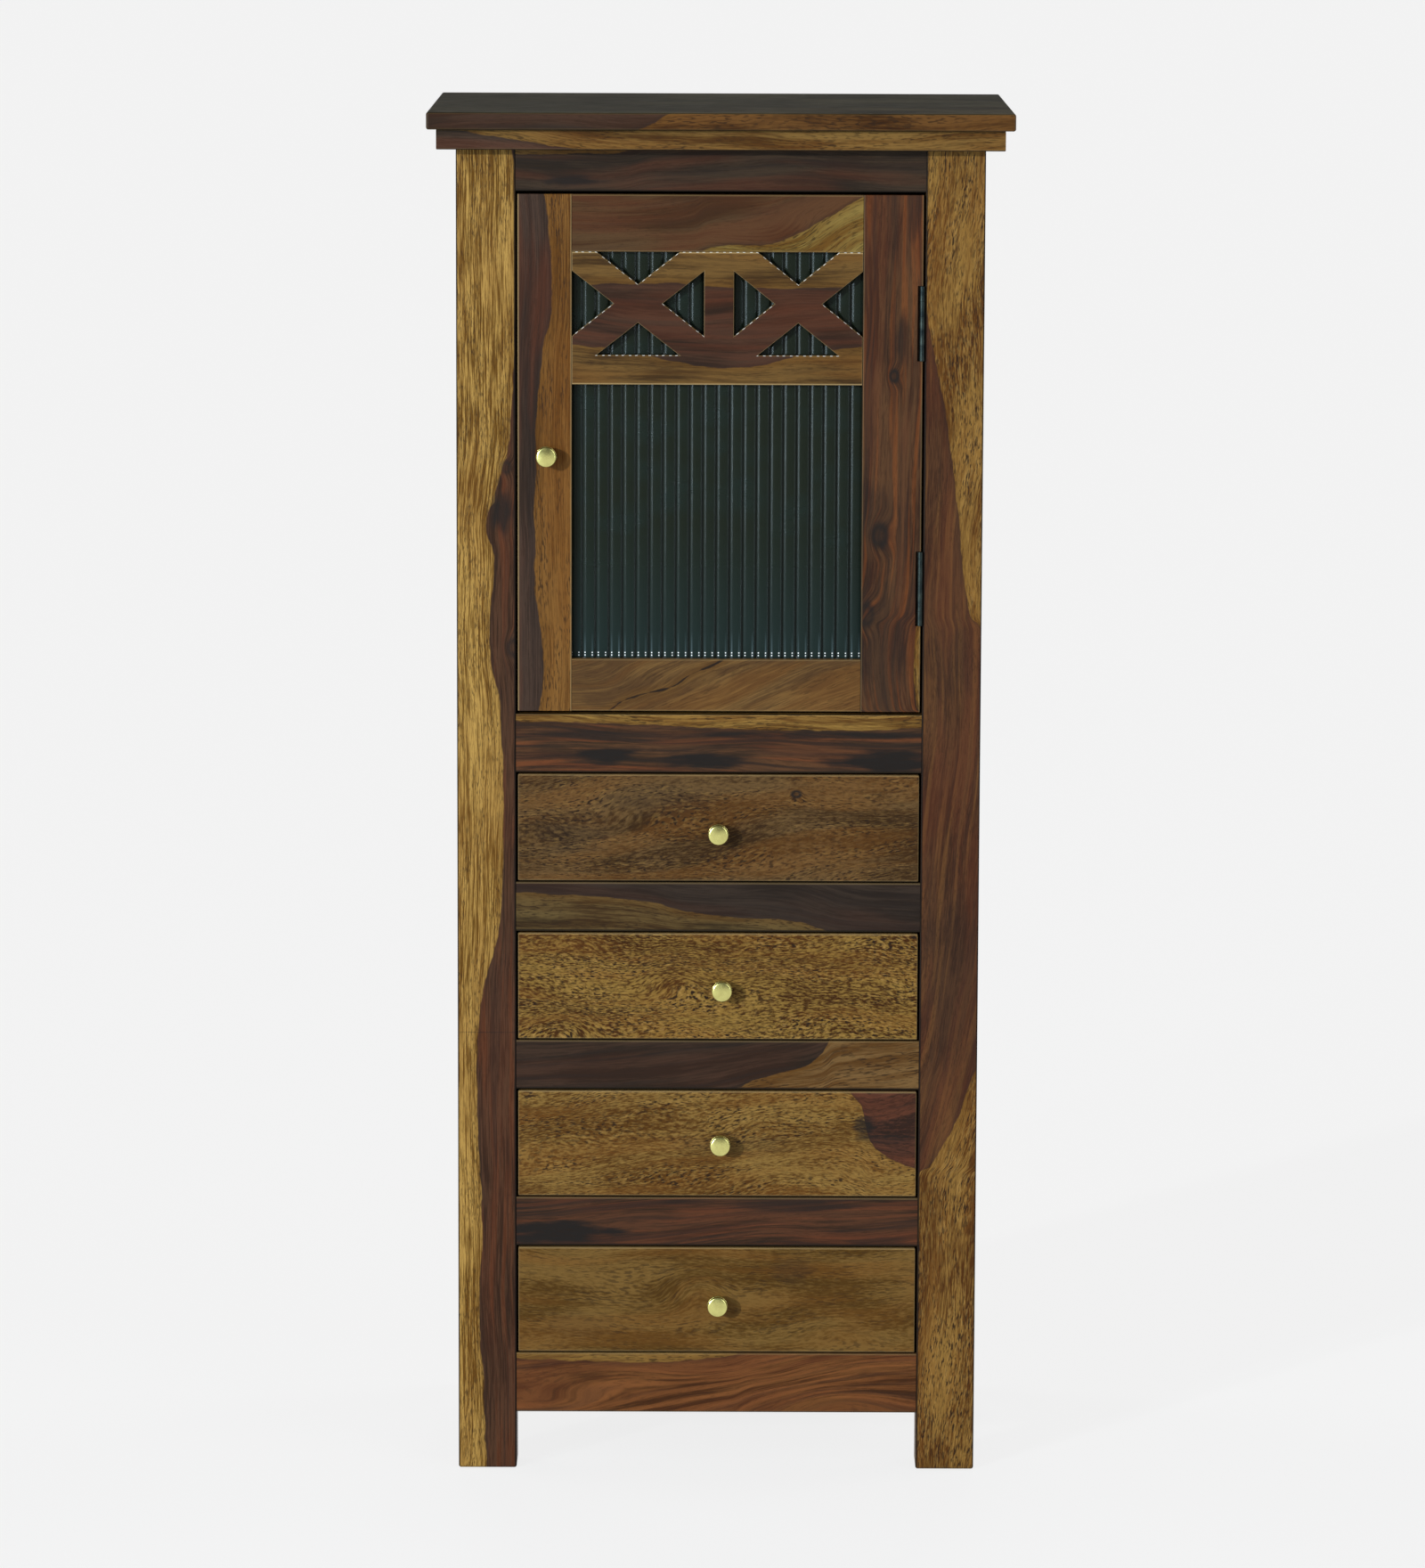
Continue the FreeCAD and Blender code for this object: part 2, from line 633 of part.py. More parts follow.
def make_knob(name, at, board_thick):
    """A turned knob: base, neck, collar, groove and head, held by a screw from behind."""
    knob = new_body(f"{name}_turning", *at)
    rod(knob, "head", "knob_head_radius", "knob_head_high", ("0", "-knob_head_rise", "0"), "-y")
    round_edges(knob, "head_round", "knob_head_round", lambda edge: not runs_along(edge, "y"))
    rod(knob, "groove", "knob_groove_radius", "knob_groove_high", ("0", "-knob_groove_rise", "0"), "-y")
    rod(knob, "collar", "knob_collar_radius", "knob_collar_high", ("0", "-knob_collar_rise", "0"), "-y")
    round_edges(knob, "collar_round", "knob_collar_round", collar_rim)
    neck = ("knob_base_radius", "knob_neck_radius")
    cone(knob, "neck", neck, "knob_neck_high", ("0", "-knob_base_high", "0"), "-y")
    rod(knob, "base", "knob_base_radius", "knob_base_high", ("0", "0", "0"), "-y")
    rod(knob, "bore", "knob_screw_radius", "knob_screw_bite", ("0", "0", "0"), "-y", cut=True)
    screw = new_body(f"{name}_screw", *at)
    back = ("0", board_thick, "0")
    rod(screw, "shank", "knob_screw_radius", f"{board_thick} + knob_screw_bite", back, "-y")
    rod(screw, "head", "knob_screw_head_radius", "knob_screw_head_high", back, "y")
    group(name, [knob, screw])


def collar_rim(edge):
    """Tell whether an edge is one of the two rims of a knob's collar."""
    if edge.Curve.TypeId != "Part::GeomCircle":
        return False
    return abs(edge.Curve.Radius - SIZES["knob_collar_radius"]) < TOUCH


def make_drawer(number):
    """An inset front with a rebate at each end, two sides, a back and a bottom in grooves."""
    level = opening_bottom(number)
    name = f"drawer_{number}"
    front = new_body(f"{name}_front", "-front_wide / 2", "case_front", f"{level} + front_gap_bottom")
    block(front, "plank", ("front_wide", "front_thick", "front_high"))
    round_edges(front, "eased", "edge_round", lambda edge: True)
    side_top = "drawer_side_high + slide_clear - front_gap_bottom"
    rebate = ("drawer_inset + drawer_side_thick", "drawer_lap", f"{side_top} + overrun")
    block(front, "rebate_left", rebate, ("0", "box_front", "-overrun"), cut=True)
    block(front, "rebate_right", rebate, ("front_wide / 2 + box_inner", "box_front", "-overrun"), cut=True)
    bottom_level = "slide_clear + drawer_bottom_rise"
    groove = ("2 * box_inner", "drawer_groove", "drawer_bottom_thick")
    at = ("front_wide / 2 - box_inner", "front_thick - drawer_groove", f"{bottom_level} - front_gap_bottom")
    block(front, "groove", groove, at, cut=True)
    knob_x = f"knob_shift_{number}"
    knob_z = f"drawer_open_high / 2 - knob_drop_{number}"
    at = (f"front_wide / 2 + {knob_x}", "0", f"{knob_z} - front_gap_bottom")
    rod(front, "knob_hole", "knob_screw_radius", "front_thick", at, "y", cut=True)
    keep(front)

    sides = []
    for side, low, groove_x in (("left", "-box_half", "drawer_side_thick - drawer_groove"),
                                ("right", "box_inner", "0")):
        body = new_body(f"{name}_side_{side}", low, "case_front + box_front", f"{level} + slide_clear")
        block(body, "board", ("drawer_side_thick", "drawer_deep - box_front", "drawer_side_high"))
        size = ("drawer_groove", "drawer_deep - box_front", "drawer_bottom_thick")
        block(body, "groove", size, (groove_x, "0", "drawer_bottom_rise"), cut=True)
        sides.append(body)
    back_bottom = "slide_clear + drawer_bottom_rise + drawer_bottom_thick"
    back = new_body(f"{name}_back", "-box_inner", "case_front + drawer_deep - drawer_side_thick",
                    f"{level} + {back_bottom}")
    high = "drawer_side_high - drawer_bottom_rise - drawer_bottom_thick - drawer_back_drop"
    block(back, "board", ("2 * box_inner", "drawer_side_thick", high))
    group(f"{name}_box", sides + [back])

    bottom = new_body(f"{name}_bottom", "-box_inner - drawer_groove",
                      "case_front + front_thick", f"{level} + {bottom_level}")
    size = ("2 * box_inner + 2 * drawer_groove", "drawer_deep - front_thick", "drawer_bottom_thick")
    block(bottom, "sheet", size)
    tongue = ("2 * box_inner", "drawer_groove", "drawer_bottom_thick")
    block(bottom, "tongue", tongue, ("drawer_groove", "-drawer_groove", "0"))
    keep(bottom)
    make_knob(f"{name}_knob", (knob_x, "case_front", f"{level} + {knob_z}"), "front_thick")


def make_door_frame():
    """Two stiles and two rails joined by tenons, with a rabbet at the back for the glass."""
    rails = [
        ("door_rail_bottom", "door_bottom", "door_bottom_rail_high", "door_bottom_rail_high - rabbet_wide"),
        ("door_rail_top", "door_top_rail_bottom", "door_top_rail_high", "0"),
    ]
    for name, bottom, high, rabbet_z in rails:
        body = board(name, ("door_inner_wide", "door_thick", high), ("door_inner_left", "case_front", bottom))
        rabbet = ("door_inner_wide", "rabbet_deep", "rabbet_wide")
        block(body, "rabbet", rabbet, ("0", "lattice_thick", rabbet_z), cut=True)
        tenon_wide = "door_inner_wide + 2 * door_tenon_long"
        tenon = (tenon_wide, "door_tenon_thick", f"{high} - 2 * door_tenon_shoulder")
        at = ("-door_tenon_long", "door_thick / 2 - door_tenon_thick / 2", "door_tenon_shoulder")
        block(body, "tenons", tenon, at)
        keep(body)
    stiles = [
        ("door_stile_left", "door_left", "stile_left_wide", -1),
        ("door_stile_right", "stile_right_left", "stile_right_wide", 1),
    ]
    for name, left, wide, sign in stiles:
        body = board(name, (wide, "door_thick", "door_high"), (left, "case_front", "door_bottom"), "z")
        at_edge = "0" if sign > 0 else f"{wide} - {{}}"
        size = ("rabbet_wide", "rabbet_deep", "glass_open_high + 2 * rabbet_wide")
        at = (at_edge.format("rabbet_wide"), "lattice_thick", "door_bottom_rail_high - rabbet_wide")
        block(body, "rabbet", size, at, cut=True)
        for count, (rail, bottom, high, rabbet_z) in enumerate(rails):
            size = ("door_tenon_long", "door_tenon_thick", f"{high} - 2 * door_tenon_shoulder")
            at = (at_edge.format("door_tenon_long"), "door_thick / 2 - door_tenon_thick / 2",
                  f"{bottom} - door_bottom + door_tenon_shoulder")
            block(body, f"mortise_{count}", size, at, cut=True)
        size = ("tongue_long", "tongue_thick", "tongue_high")
        at = (at_edge.format("tongue_long"), "lattice_thick / 2 - tongue_thick / 2",
              "lattice_bottom - door_bottom + lattice_band / 2 - tongue_high / 2")
        block(body, "tongue_socket", size, at, cut=True)
        if sign < 0:
            at = ("door_knob_inset", "0", "door_knob_rise")
            rod(body, "knob_hole", "knob_screw_radius", "door_thick", at, "y", cut=True)
        else:
            cut_hinge_seats(body)
        keep(body)


def cut_hinge_seats(stile):
    """Let both door leaves and their barrels into the stile's edge, and bore for their screws."""
    for count in range(2):
        low = f"hinge_bottom + {count} * hinge_spacing - door_bottom"
        high = "hinge_high + 2 * hinge_notch_ease"
        for name, left, back in (("leaf_seat", "hinge_x - knuckle_radius", "door_thick + overrun"),
                                 ("barrel_seat", "hinge_x - barrel_notch", "barrel_notch_deep")):
            size = ("stile_right_wide", f"{back} + overrun", high)
            at = (f"{left} - stile_right_left", "-overrun", f"{low} - hinge_notch_ease")
            block(stile, f"{name}_{count}", size, at, cut=True)
        for number, rise in enumerate(hinge_screw_levels()):
            at = ("hinge_x - knuckle_radius + overrun - stile_right_left", "hinge_screw_back - hinge_proud",
                  f"{low} + {rise}")
            long = "screw_long - hinge_leaf_thick + overrun"
            rod(stile, f"screw_hole_{count}_{number}", "screw_radius", long, at, "-x", cut=True)


def hinge_screw_levels():
    """Levels of a leaf's three screws above the hinge's lower end."""
    return ["hinge_screw_rise", "hinge_high / 2", "(hinge_high - hinge_screw_rise)"]


def make_lattice():
    """One board sawn into two crosses with a bar between them, over a band with a tongue each end."""
    body = new_body("door_lattice", "door_inner_left", "case_front", "lattice_bottom")
    block(body, "board", ("door_inner_wide", "lattice_thick", "lattice_high"))
    size = ("door_inner_wide + 2 * tongue_long", "tongue_thick", "tongue_high")
    at = ("-tongue_long", "lattice_thick / 2 - tongue_thick / 2", "lattice_band / 2 - tongue_high / 2")
    block(body, "tongues", size, at)
    fields = [
        ("left", "lattice_left_field / 2", "lattice_left_field / 2"),
        ("right", "door_inner_wide - lattice_right_field / 2", "lattice_right_field / 2"),
    ]
    middle = "(lattice_band + field_half_high)"
    rise = "(field_half_high - lattice_arm_half)"
    for side, centre, half_wide in fields:
        slope = f"(field_half_high / ({half_wide}))"
        run = f"({rise} / {slope})"
        cuts = [
            ("top", run, rise, centre, f"{middle} + field_half_high", 180),
            ("bottom", run, rise, centre, "lattice_band", 0),
            ("outer_left", rise, run, f"{centre} - {half_wide}", middle, 90),
            ("outer_right", rise, run, f"{centre} + {half_wide}", middle, -90),
        ]
        for name, base_half, reach, x, z, turn in cuts:
            saw_triangle(body, f"{side}_{name}", base_half, reach, x, z, turn)
    round_edges(body, "eased", "lattice_round", lambda edge: edge.BoundBox.YMax < TOUCH)
    keep(body)


def saw_triangle(body, name, base_half, reach, x, z, turn):
    """Cut a triangle through the lattice board, from its base towards its point."""
    wedge = body.newObject("PartDesign::SubtractiveWedge", name)
    bind(wedge, Xmin=f"-{base_half}", Xmax=base_half, X2min="0", X2max="0", Ymin="0", Ymax=reach)
    bind(wedge, Zmin="0", Z2min="0", Zmax="lattice_thick + 2 * overrun", Z2max="lattice_thick + 2 * overrun")
    turned = FreeCAD.Rotation(FreeCAD.Vector(0, 1, 0), turn)
    wedge.Placement.Rotation = turned.multiply(FreeCAD.Rotation(FreeCAD.Vector(1, 0, 0), 90))
    place(wedge, x, "lattice_thick + overrun", z)


def make_glass():
    """One pane with round flutes down its front, and four beads that hold it in the rabbet."""
    low_corner = ("door_inner_left - glass_lap", "glass_front", "glass_open_bottom - glass_lap")
    body = new_body("door_glass", *low_corner)
    high = "glass_open_high + 2 * glass_lap"
    block(body, "pane", ("glass_wide", "glass_web", high))
    sketch = body.newObject("Sketcher::SketchObject", "flute_outline")
    plane = next(plane for plane in body.Origin.OriginFeatures if plane.Role == "XY_Plane")
    sketch.AttachmentSupport = [(plane, "")]
    sketch.MapMode = "FlatFace"
    pitch, rise = SIZES["flute_pitch"], SIZES["flute_rise"]
    ends = [FreeCAD.Vector(pitch, 0, 0), FreeCAD.Vector(2 * pitch, 0, 0)]
    arc = Part.Arc(ends[0], (ends[0] + ends[1]) / 2 - FreeCAD.Vector(0, rise, 0), ends[1])
    sketch.addGeometry(arc, False)
    sketch.addGeometry(Part.LineSegment(*ends), False)
    sketch.addConstraint(Sketcher.Constraint("Coincident", 0, 1, 1, 1))
    sketch.addConstraint(Sketcher.Constraint("Coincident", 0, 2, 1, 2))
    sketch.addConstraint(Sketcher.Constraint("Horizontal", 1))
    sketch.addConstraint(Sketcher.Constraint("PointOnObject", 1, 1, -1))
    radius = (pitch * pitch / 4 + rise * rise) / (2 * rise)
    tied = [
        ("start", Sketcher.Constraint("DistanceX", -1, 1, 1, 1, pitch), "flute_start"),
        ("pitch", Sketcher.Constraint("DistanceX", 1, 1, 1, 2, pitch), "flute_pitch"),
        ("radius", Sketcher.Constraint("Radius", 0, radius), "flute_radius"),
    ]
    for name, constraint, text in tied:
        sketch.renameConstraint(sketch.addConstraint(constraint), name)
        sketch.setExpression(f"Constraints.{name}", formula(text))
    flute = body.newObject("PartDesign::Pad", "flute")
    flute.Profile = sketch
    bind(flute, Length=high)
    flutes = body.newObject("PartDesign::LinearPattern", "flutes")
    flutes.Originals = [flute]
    flutes.Direction = (sketch, ["H_Axis"])
    bind(flutes, Length="flute_pitch * (flute_count - 1)", Occurrences="flute_count")
    body.Tip = flutes
    keep(body)

    beads = []
    low_x, low_z = "(door_inner_left - rabbet_wide)", "(glass_open_bottom - rabbet_wide)"
    long = "(door_inner_wide + 2 * rabbet_wide)"
    spans = [
        ("bottom", (long, "bead_deep", "rabbet_wide"), low_x, low_z),
        ("top", (long, "bead_deep", "rabbet_wide"), low_x, "door_top_rail_bottom"),
        ("left", ("rabbet_wide", "bead_deep", "glass_open_high"), low_x, "glass_open_bottom"),
        ("right", ("rabbet_wide", "bead_deep", "glass_open_high"), "stile_right_left", "glass_open_bottom"),
    ]
    for name, size, x, z in spans:
        bead = new_body(f"bead_{name}", x, "glass_front + glass_web", z)
        block(bead, "strip", size)
        beads.append(bead)
    group("door_glass_beads", beads)


def make_leaf(name, side, own, level):
    """One hinge leaf: a plate with three screw holes and the knuckles that it has round the pin."""
    body = new_body(name, "hinge_x", "hinge_y", level)
    clear = "(knuckle_radius + hinge_notch_ease)"
    plate_x = "-knuckle_radius" if side < 0 else "knuckle_radius - hinge_leaf_thick"
    size = ("hinge_leaf_thick", f"hinge_leaf_wide - {clear}", "hinge_high")
    block(body, "plate", size, (plate_x, clear, "0"))
    for count in own:
        low = f"{count} * knuckle_high + knuckle_gap / 2"
        high = "knuckle_high - knuckle_gap"
        rod(body, f"knuckle_{count}", "knuckle_radius", high, ("0", "0", low))
        block(body, f"strap_{count}", ("hinge_leaf_thick", clear, high), (plate_x, "0", low))
    radius = "bore_radius" if side < 0 else "hinge_pin_radius"
    rod(body, "bore", radius, "hinge_high", cut=True)
    head_x = "hinge_leaf_thick - knuckle_radius" if side < 0 else "knuckle_radius - hinge_leaf_thick"
    along = "-x" if side < 0 else "x"
    for count, rise in enumerate(hinge_screw_levels()):
        at = (head_x, "hinge_screw_back", rise)
        sink_screw_hole(body, f"screw_{count}", "hinge_leaf_thick", at, along)
    return body


def make_hinges():
    """Two butt hinges; the post carries the leaf with three knuckles and the door the one with two."""
    parts = {"post_leaf": [], "door_leaf": [], "pin": [], "post_screw": [], "door_screw": []}
    knuckles = range(SIZES["knuckle_count"])
    for count in range(2):
        level = f"hinge_bottom + {count} * hinge_spacing"
        parts["post_leaf"].append(make_leaf(f"post_leaf_{count}", 1, knuckles[::2], level))
        parts["door_leaf"].append(make_leaf(f"door_leaf_{count}", -1, knuckles[1::2], level))
        pin = new_body(f"hinge_pin_{count}", "hinge_x", "hinge_y", level)
        rod(pin, "pin", "hinge_pin_radius", "hinge_high")
        parts["pin"].append(pin)
        for number, rise in enumerate(hinge_screw_levels()):
            for kind, along, offset in (("post_screw", "x", "knuckle_radius - hinge_leaf_thick"),
                                        ("door_screw", "-x", "hinge_leaf_thick - knuckle_radius")):
                at = (f"hinge_x + {offset}", "hinge_y + hinge_screw_back", f"{level} + {rise}")
                parts[kind].append(wood_screw(f"hinge_{kind}_{count}_{number}", at, along))
    group("hinge_post_leaves", parts["post_leaf"])
    group("hinge_door_leaves", parts["door_leaf"])
    group("hinge_pins", parts["pin"])
    group("hinge_post_screws", parts["post_screw"])
    group("hinge_door_screws", parts["door_screw"])


def bore_post_for_screws():
    """Bore the right post for the hinges' screws and the left post for the catch's."""
    right = doc.getObject("post_front_right")
    for count in range(2):
        for number, rise in enumerate(hinge_screw_levels()):
            at = ("opening_wide / 2 - overrun", "hinge_screw_back - hinge_proud",
                  f"hinge_bottom + {count} * hinge_spacing + {rise}")
            long = "screw_long - hinge_leaf_thick + overrun"
            rod(right, f"hinge_hole_{count}_{number}", "screw_radius", long, at, "x", cut=True)
    left = doc.getObject("post_front_left")
    for number, rise in enumerate(catch_screw_levels()):
        middle = "catch_front - case_front + catch_deep / 2"
        at = ("overrun - opening_wide / 2", middle, f"catch_bottom + {rise}")
        long = "screw_long - catch_wide + overrun"
        rod(left, f"catch_hole_{number}", "screw_radius", long, at, "-x", cut=True)


def catch_screw_levels():
    """Levels of the catch's two screws above its lower end."""
    return ["catch_screw_rise", "(catch_high - catch_screw_rise)"]


def make_catch():
    """A magnetic catch on the left post, its two screws, and the strike plate behind the door."""
    catch = new_body("magnetic_catch", "-opening_wide / 2", "catch_front", "catch_bottom")
    block(catch, "housing", ("catch_wide", "catch_deep", "catch_high"))
    round_edges(catch, "eased", "edge_round", lambda edge: runs_along(edge, "z"))
    screws = []
    for number, rise in enumerate(catch_screw_levels()):
        at = ("catch_wide", "catch_deep / 2", rise)
        sink_screw_hole(catch, f"screw_{number}", "catch_wide", at, "-x")
        at = ("catch_wide - opening_wide / 2", "catch_front + catch_deep / 2", f"catch_bottom + {rise}")
        screws.append(wood_screw(f"catch_screw_{number}", at, "-x"))
    keep(catch)
    group("catch_screws", screws)
    plate = new_body("catch_plate", "door_left + plate_inset", "case_front + door_thick",
                     "catch_bottom + catch_high / 2 - plate_high / 2")
    block(plate, "plate", ("plate_wide", "plate_thick", "plate_high"))
    keep(plate)


make_top()
make_cornice()
make_posts()
make_front_rails()
make_side_frames()
make_back_frame()
make_cupboard()
make_runners()
for drawer_number in range(1, DRAWERS + 1):
    make_drawer(drawer_number)
make_door_frame()
make_lattice()
make_glass()
door_knob_place = ("door_left + door_knob_inset", "case_front", "door_bottom + door_knob_rise")
make_knob("door_knob", door_knob_place, "door_thick")
make_hinges()
bore_post_for_screws()
make_catch()
doc.recompute()

for item in doc.Objects:
    if "Invalid" in item.State or "Error" in item.State:
        raise RuntimeError(f"{item.Name} failed: {item.State}")
for node in nodes:
    if node.Shape.isNull() or not node.Shape.isValid():
        raise RuntimeError(f"{node.Label} has no valid shape")

os.makedirs("parts", exist_ok=True)
for node in nodes:
    node.Shape.exportStep(f"parts/{node.Label}.step")
print(len(nodes), "nodes written")
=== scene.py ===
import math

import bpy
from mathutils import Matrix, Vector


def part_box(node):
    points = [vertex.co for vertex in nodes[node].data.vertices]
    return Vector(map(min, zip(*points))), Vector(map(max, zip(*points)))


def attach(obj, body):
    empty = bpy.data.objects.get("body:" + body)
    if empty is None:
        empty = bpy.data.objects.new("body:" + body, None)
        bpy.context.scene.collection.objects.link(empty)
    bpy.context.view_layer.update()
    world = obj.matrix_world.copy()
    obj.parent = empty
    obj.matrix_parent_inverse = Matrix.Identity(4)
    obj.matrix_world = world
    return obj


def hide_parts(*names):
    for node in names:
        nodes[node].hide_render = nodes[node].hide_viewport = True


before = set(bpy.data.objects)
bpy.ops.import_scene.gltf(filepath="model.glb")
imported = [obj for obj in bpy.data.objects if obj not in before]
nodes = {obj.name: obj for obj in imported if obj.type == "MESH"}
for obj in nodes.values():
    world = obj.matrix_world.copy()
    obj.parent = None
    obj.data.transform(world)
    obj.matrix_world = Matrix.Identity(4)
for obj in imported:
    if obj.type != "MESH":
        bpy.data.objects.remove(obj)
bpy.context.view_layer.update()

# Front posts. Each is one long stick of sheesham, an Indian rosewood whose pale yellow sapwood and dark
# heartwood meet in a sharp, wandering line. Planed, with eased edges, and finished with satin lacquer.
# They run from the cornice to the floor as the front feet; the rails are tenoned into them.


def linear(colour):
    """Turn an sRGB hex colour to the linear colour that a shader takes."""
    shares = [int(colour[place:place + 2], 16) / 255 for place in (1, 3, 5)]
    shares = [share / 12.92 if share <= 0.04045 else ((share + 0.055) / 1.055) ** 2.4 for share in shares]
    return shares + [1]


def add(tree, kind, inputs, **settings):
    """Add a shader node with its settings, fill or link its inputs, and return the output in use.

    Inputs go by name or by place. The two colours of a colour Mix are at places 6 and 7.
    """
    node = tree.nodes.new("ShaderNode" + kind)
    for name, value in settings.items():
        setattr(node, name, value)
    for name, value in inputs.items():
        if isinstance(value, bpy.types.NodeSocket):
            tree.links.new(value, node.inputs[name])
        else:
            node.inputs[name].default_value = value
    return next(socket for socket in node.outputs if socket.enabled)


def sheesham(name, lie, seed, heart=None, sap=("#A88C50", "#573A0B"), core=("#4A3121", "#2C190D"), flow=0.8,
             swirl=8, tilt=0.0, fibre=(30, 1.8), texture=0.3, banding=0.35, warm=0.3, ink=0.4,
             glow=("#7A4A26", 0.0), pores=0.7, pore_size=(9, 1.3), flecks=0.0, edge_highlight=0.25, seam_shade=(0, 0),
             glint_shift=0.0, patches=(), knots=(), lean=0.4, rough=0.42, painted_top_shade=0.0):
    """Dress one board in lacquered sheesham. Sizes are in mm, strengths and places are shares.

    lie: the board's axes along the grain, across it and through it. Places count from the board's left,
        front or top. seed: which piece of the log the board is cut from.
    heart: where the heartwood starts and ends across the board, at places along it. () is all sapwood, and
        None leaves it to chance. lean: how far its line shifts for each mm into the board.
    sap, core: the palest and the darkest colour of the sapwood and of the heartwood.
    flow: how closely the rings follow the heartwood. swirl: how far they wander. tilt: their slope.
    fibre: a fibre's length and width. texture, banding: how strong the fibres and the ring bands are.
    warm, ink, glow: how strong the red-brown clouds, the black streaks and the warm streaks are.
    pores, pore_size, flecks: strength and size of the pores, and strength of the pale flecks among them.
    worn: strength of the painted edge highlights. seams: widths of the painted joint shade at the long
    edges.
    specks: shift of the row of painted white glints, 0 for none. rough: roughness of the finish.
    patches: dark stains, each a place along, a place across, half a length, half a width and a strength.
    knots: each a place along, a place across, a radius and a strength. painted_top_shade: strength of the
    painted shade and grey-green painted reflection on the upward face.
    """
    material = bpy.data.materials.new(name + "_sheesham")
    material.use_nodes = True
    tree = material.node_tree
    shader = tree.nodes["Principled BSDF"]
    nodes[name].data.materials[0] = material

    # Places on the board in mm. Each board is cut from its own place in one endless log
    log_step = 97.0
    low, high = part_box(name)
    spans = dict(zip("xyz", (high - low) * 1000))
    length, width = spans[lie[0]], spans[lie[1]]
    corner = (-1000 * low.x, -1000 * low.y, 1000 * high.z)
    place = add(tree, "TexCoord", {}).node.outputs
    point = add(tree, "VectorMath", {0: place["Object"], 1: (1000, 1000, -1000), 2: corner},
                operation="MULTIPLY_ADD")
    axes = add(tree, "SeparateXYZ", {0: point}).node.outputs
    along, across, depth = (axes[axis.upper()] for axis in lie)
    through = add(tree, "Math", {0: depth, 1: seed * log_step}, operation="ADD")
    flat = add(tree, "CombineXYZ", {0: along, 1: across, 2: through})

    def marks(vector, sizes, low_end, high_end, least=0.0, most=1.0, detail=2.0, spread=0.5):
        """Soft marks of these sizes along, across and through: least where weak, most where strong."""
        scaled = add(tree, "VectorMath", {0: vector, 1: [1 / size for size in sizes]}, operation="MULTIPLY")
        cloud = add(tree, "TexNoise", {"Vector": scaled, "Scale": 1.0, "Detail": detail,
                                       "Roughness": spread})
        limits = {"Value": cloud, "From Min": low_end, "From Max": high_end, "To Min": least, "To Max": most}
        return add(tree, "MapRange", limits, interpolation_type="SMOOTHSTEP")

    def oval(place_along, place_across, half_long, half_wide):
        """How far a point is from a place on the board, in shares of an oval's half sizes."""
        centre = (place_along * length, place_across * width, 0)
        away = add(tree, "VectorMath", {0: flat, 1: centre}, operation="SUBTRACT")
        scale = (1 / half_long, 1 / half_wide, 0)
        away = add(tree, "VectorMath", {0: away, 1: scale}, operation="MULTIPLY")
        return add(tree, "VectorMath", {0: away}, operation="LENGTH")

    # How many mm a point is inside the heartwood, less than 0 in the sapwood. Its line has the small wobble
    # of a growth ring, and the rings lie across the board, or follow the heartwood's two lines
    no_heart = -50.0
    deep_heart = 30.0
    wobble_high = 1.2
    ring = add(tree, "Math", {0: along, 1: tilt, 2: across}, operation="MULTIPLY_ADD")
    if heart is None:
        inside = marks(flat, (700, 60, 60), 0.3, 0.7, -deep_heart, deep_heart, 1)
    elif heart == ():
        inside = no_heart
    else:
        limits = []
        for column in (1, 2):
            share_along = add(tree, "Math", {0: along, 1: length}, operation="DIVIDE")
            curve = add(tree, "FloatCurve", {"Value": share_along}).node
            curve.mapping.use_clip = False
            line = curve.mapping.curves[0]
            for row in heart[1:-1]:
                line.points.new(row[0], row[column])
            line.points[0].location = (heart[0][0], heart[0][column])
            line.points[-1].location = (heart[-1][0], heart[-1][column])
            curve.mapping.update()
            limits.append(add(tree, "Math", {0: curve.outputs[0], 1: width}, operation="MULTIPLY"))
        past_first = add(tree, "Math", {0: across, 1: limits[0]}, operation="SUBTRACT")
        to_second = add(tree, "Math", {0: limits[1], 1: across}, operation="SUBTRACT")
        inside = add(tree, "Math", {0: past_first, 1: to_second}, operation="MINIMUM")
        both = add(tree, "Math", {0: limits[0], 1: limits[1]}, operation="ADD")
        ring = add(tree, "Math", {0: both, 1: -flow, 2: ring}, operation="MULTIPLY_ADD")
        inside = add(tree, "Math", {0: depth, 1: lean, 2: inside}, operation="MULTIPLY_ADD")
    wobble = marks(flat, (22, 9, 30), 0.2, 0.8, -wobble_high, wobble_high, 3)
    inside = add(tree, "Math", {0: inside, 1: wobble}, operation="ADD")

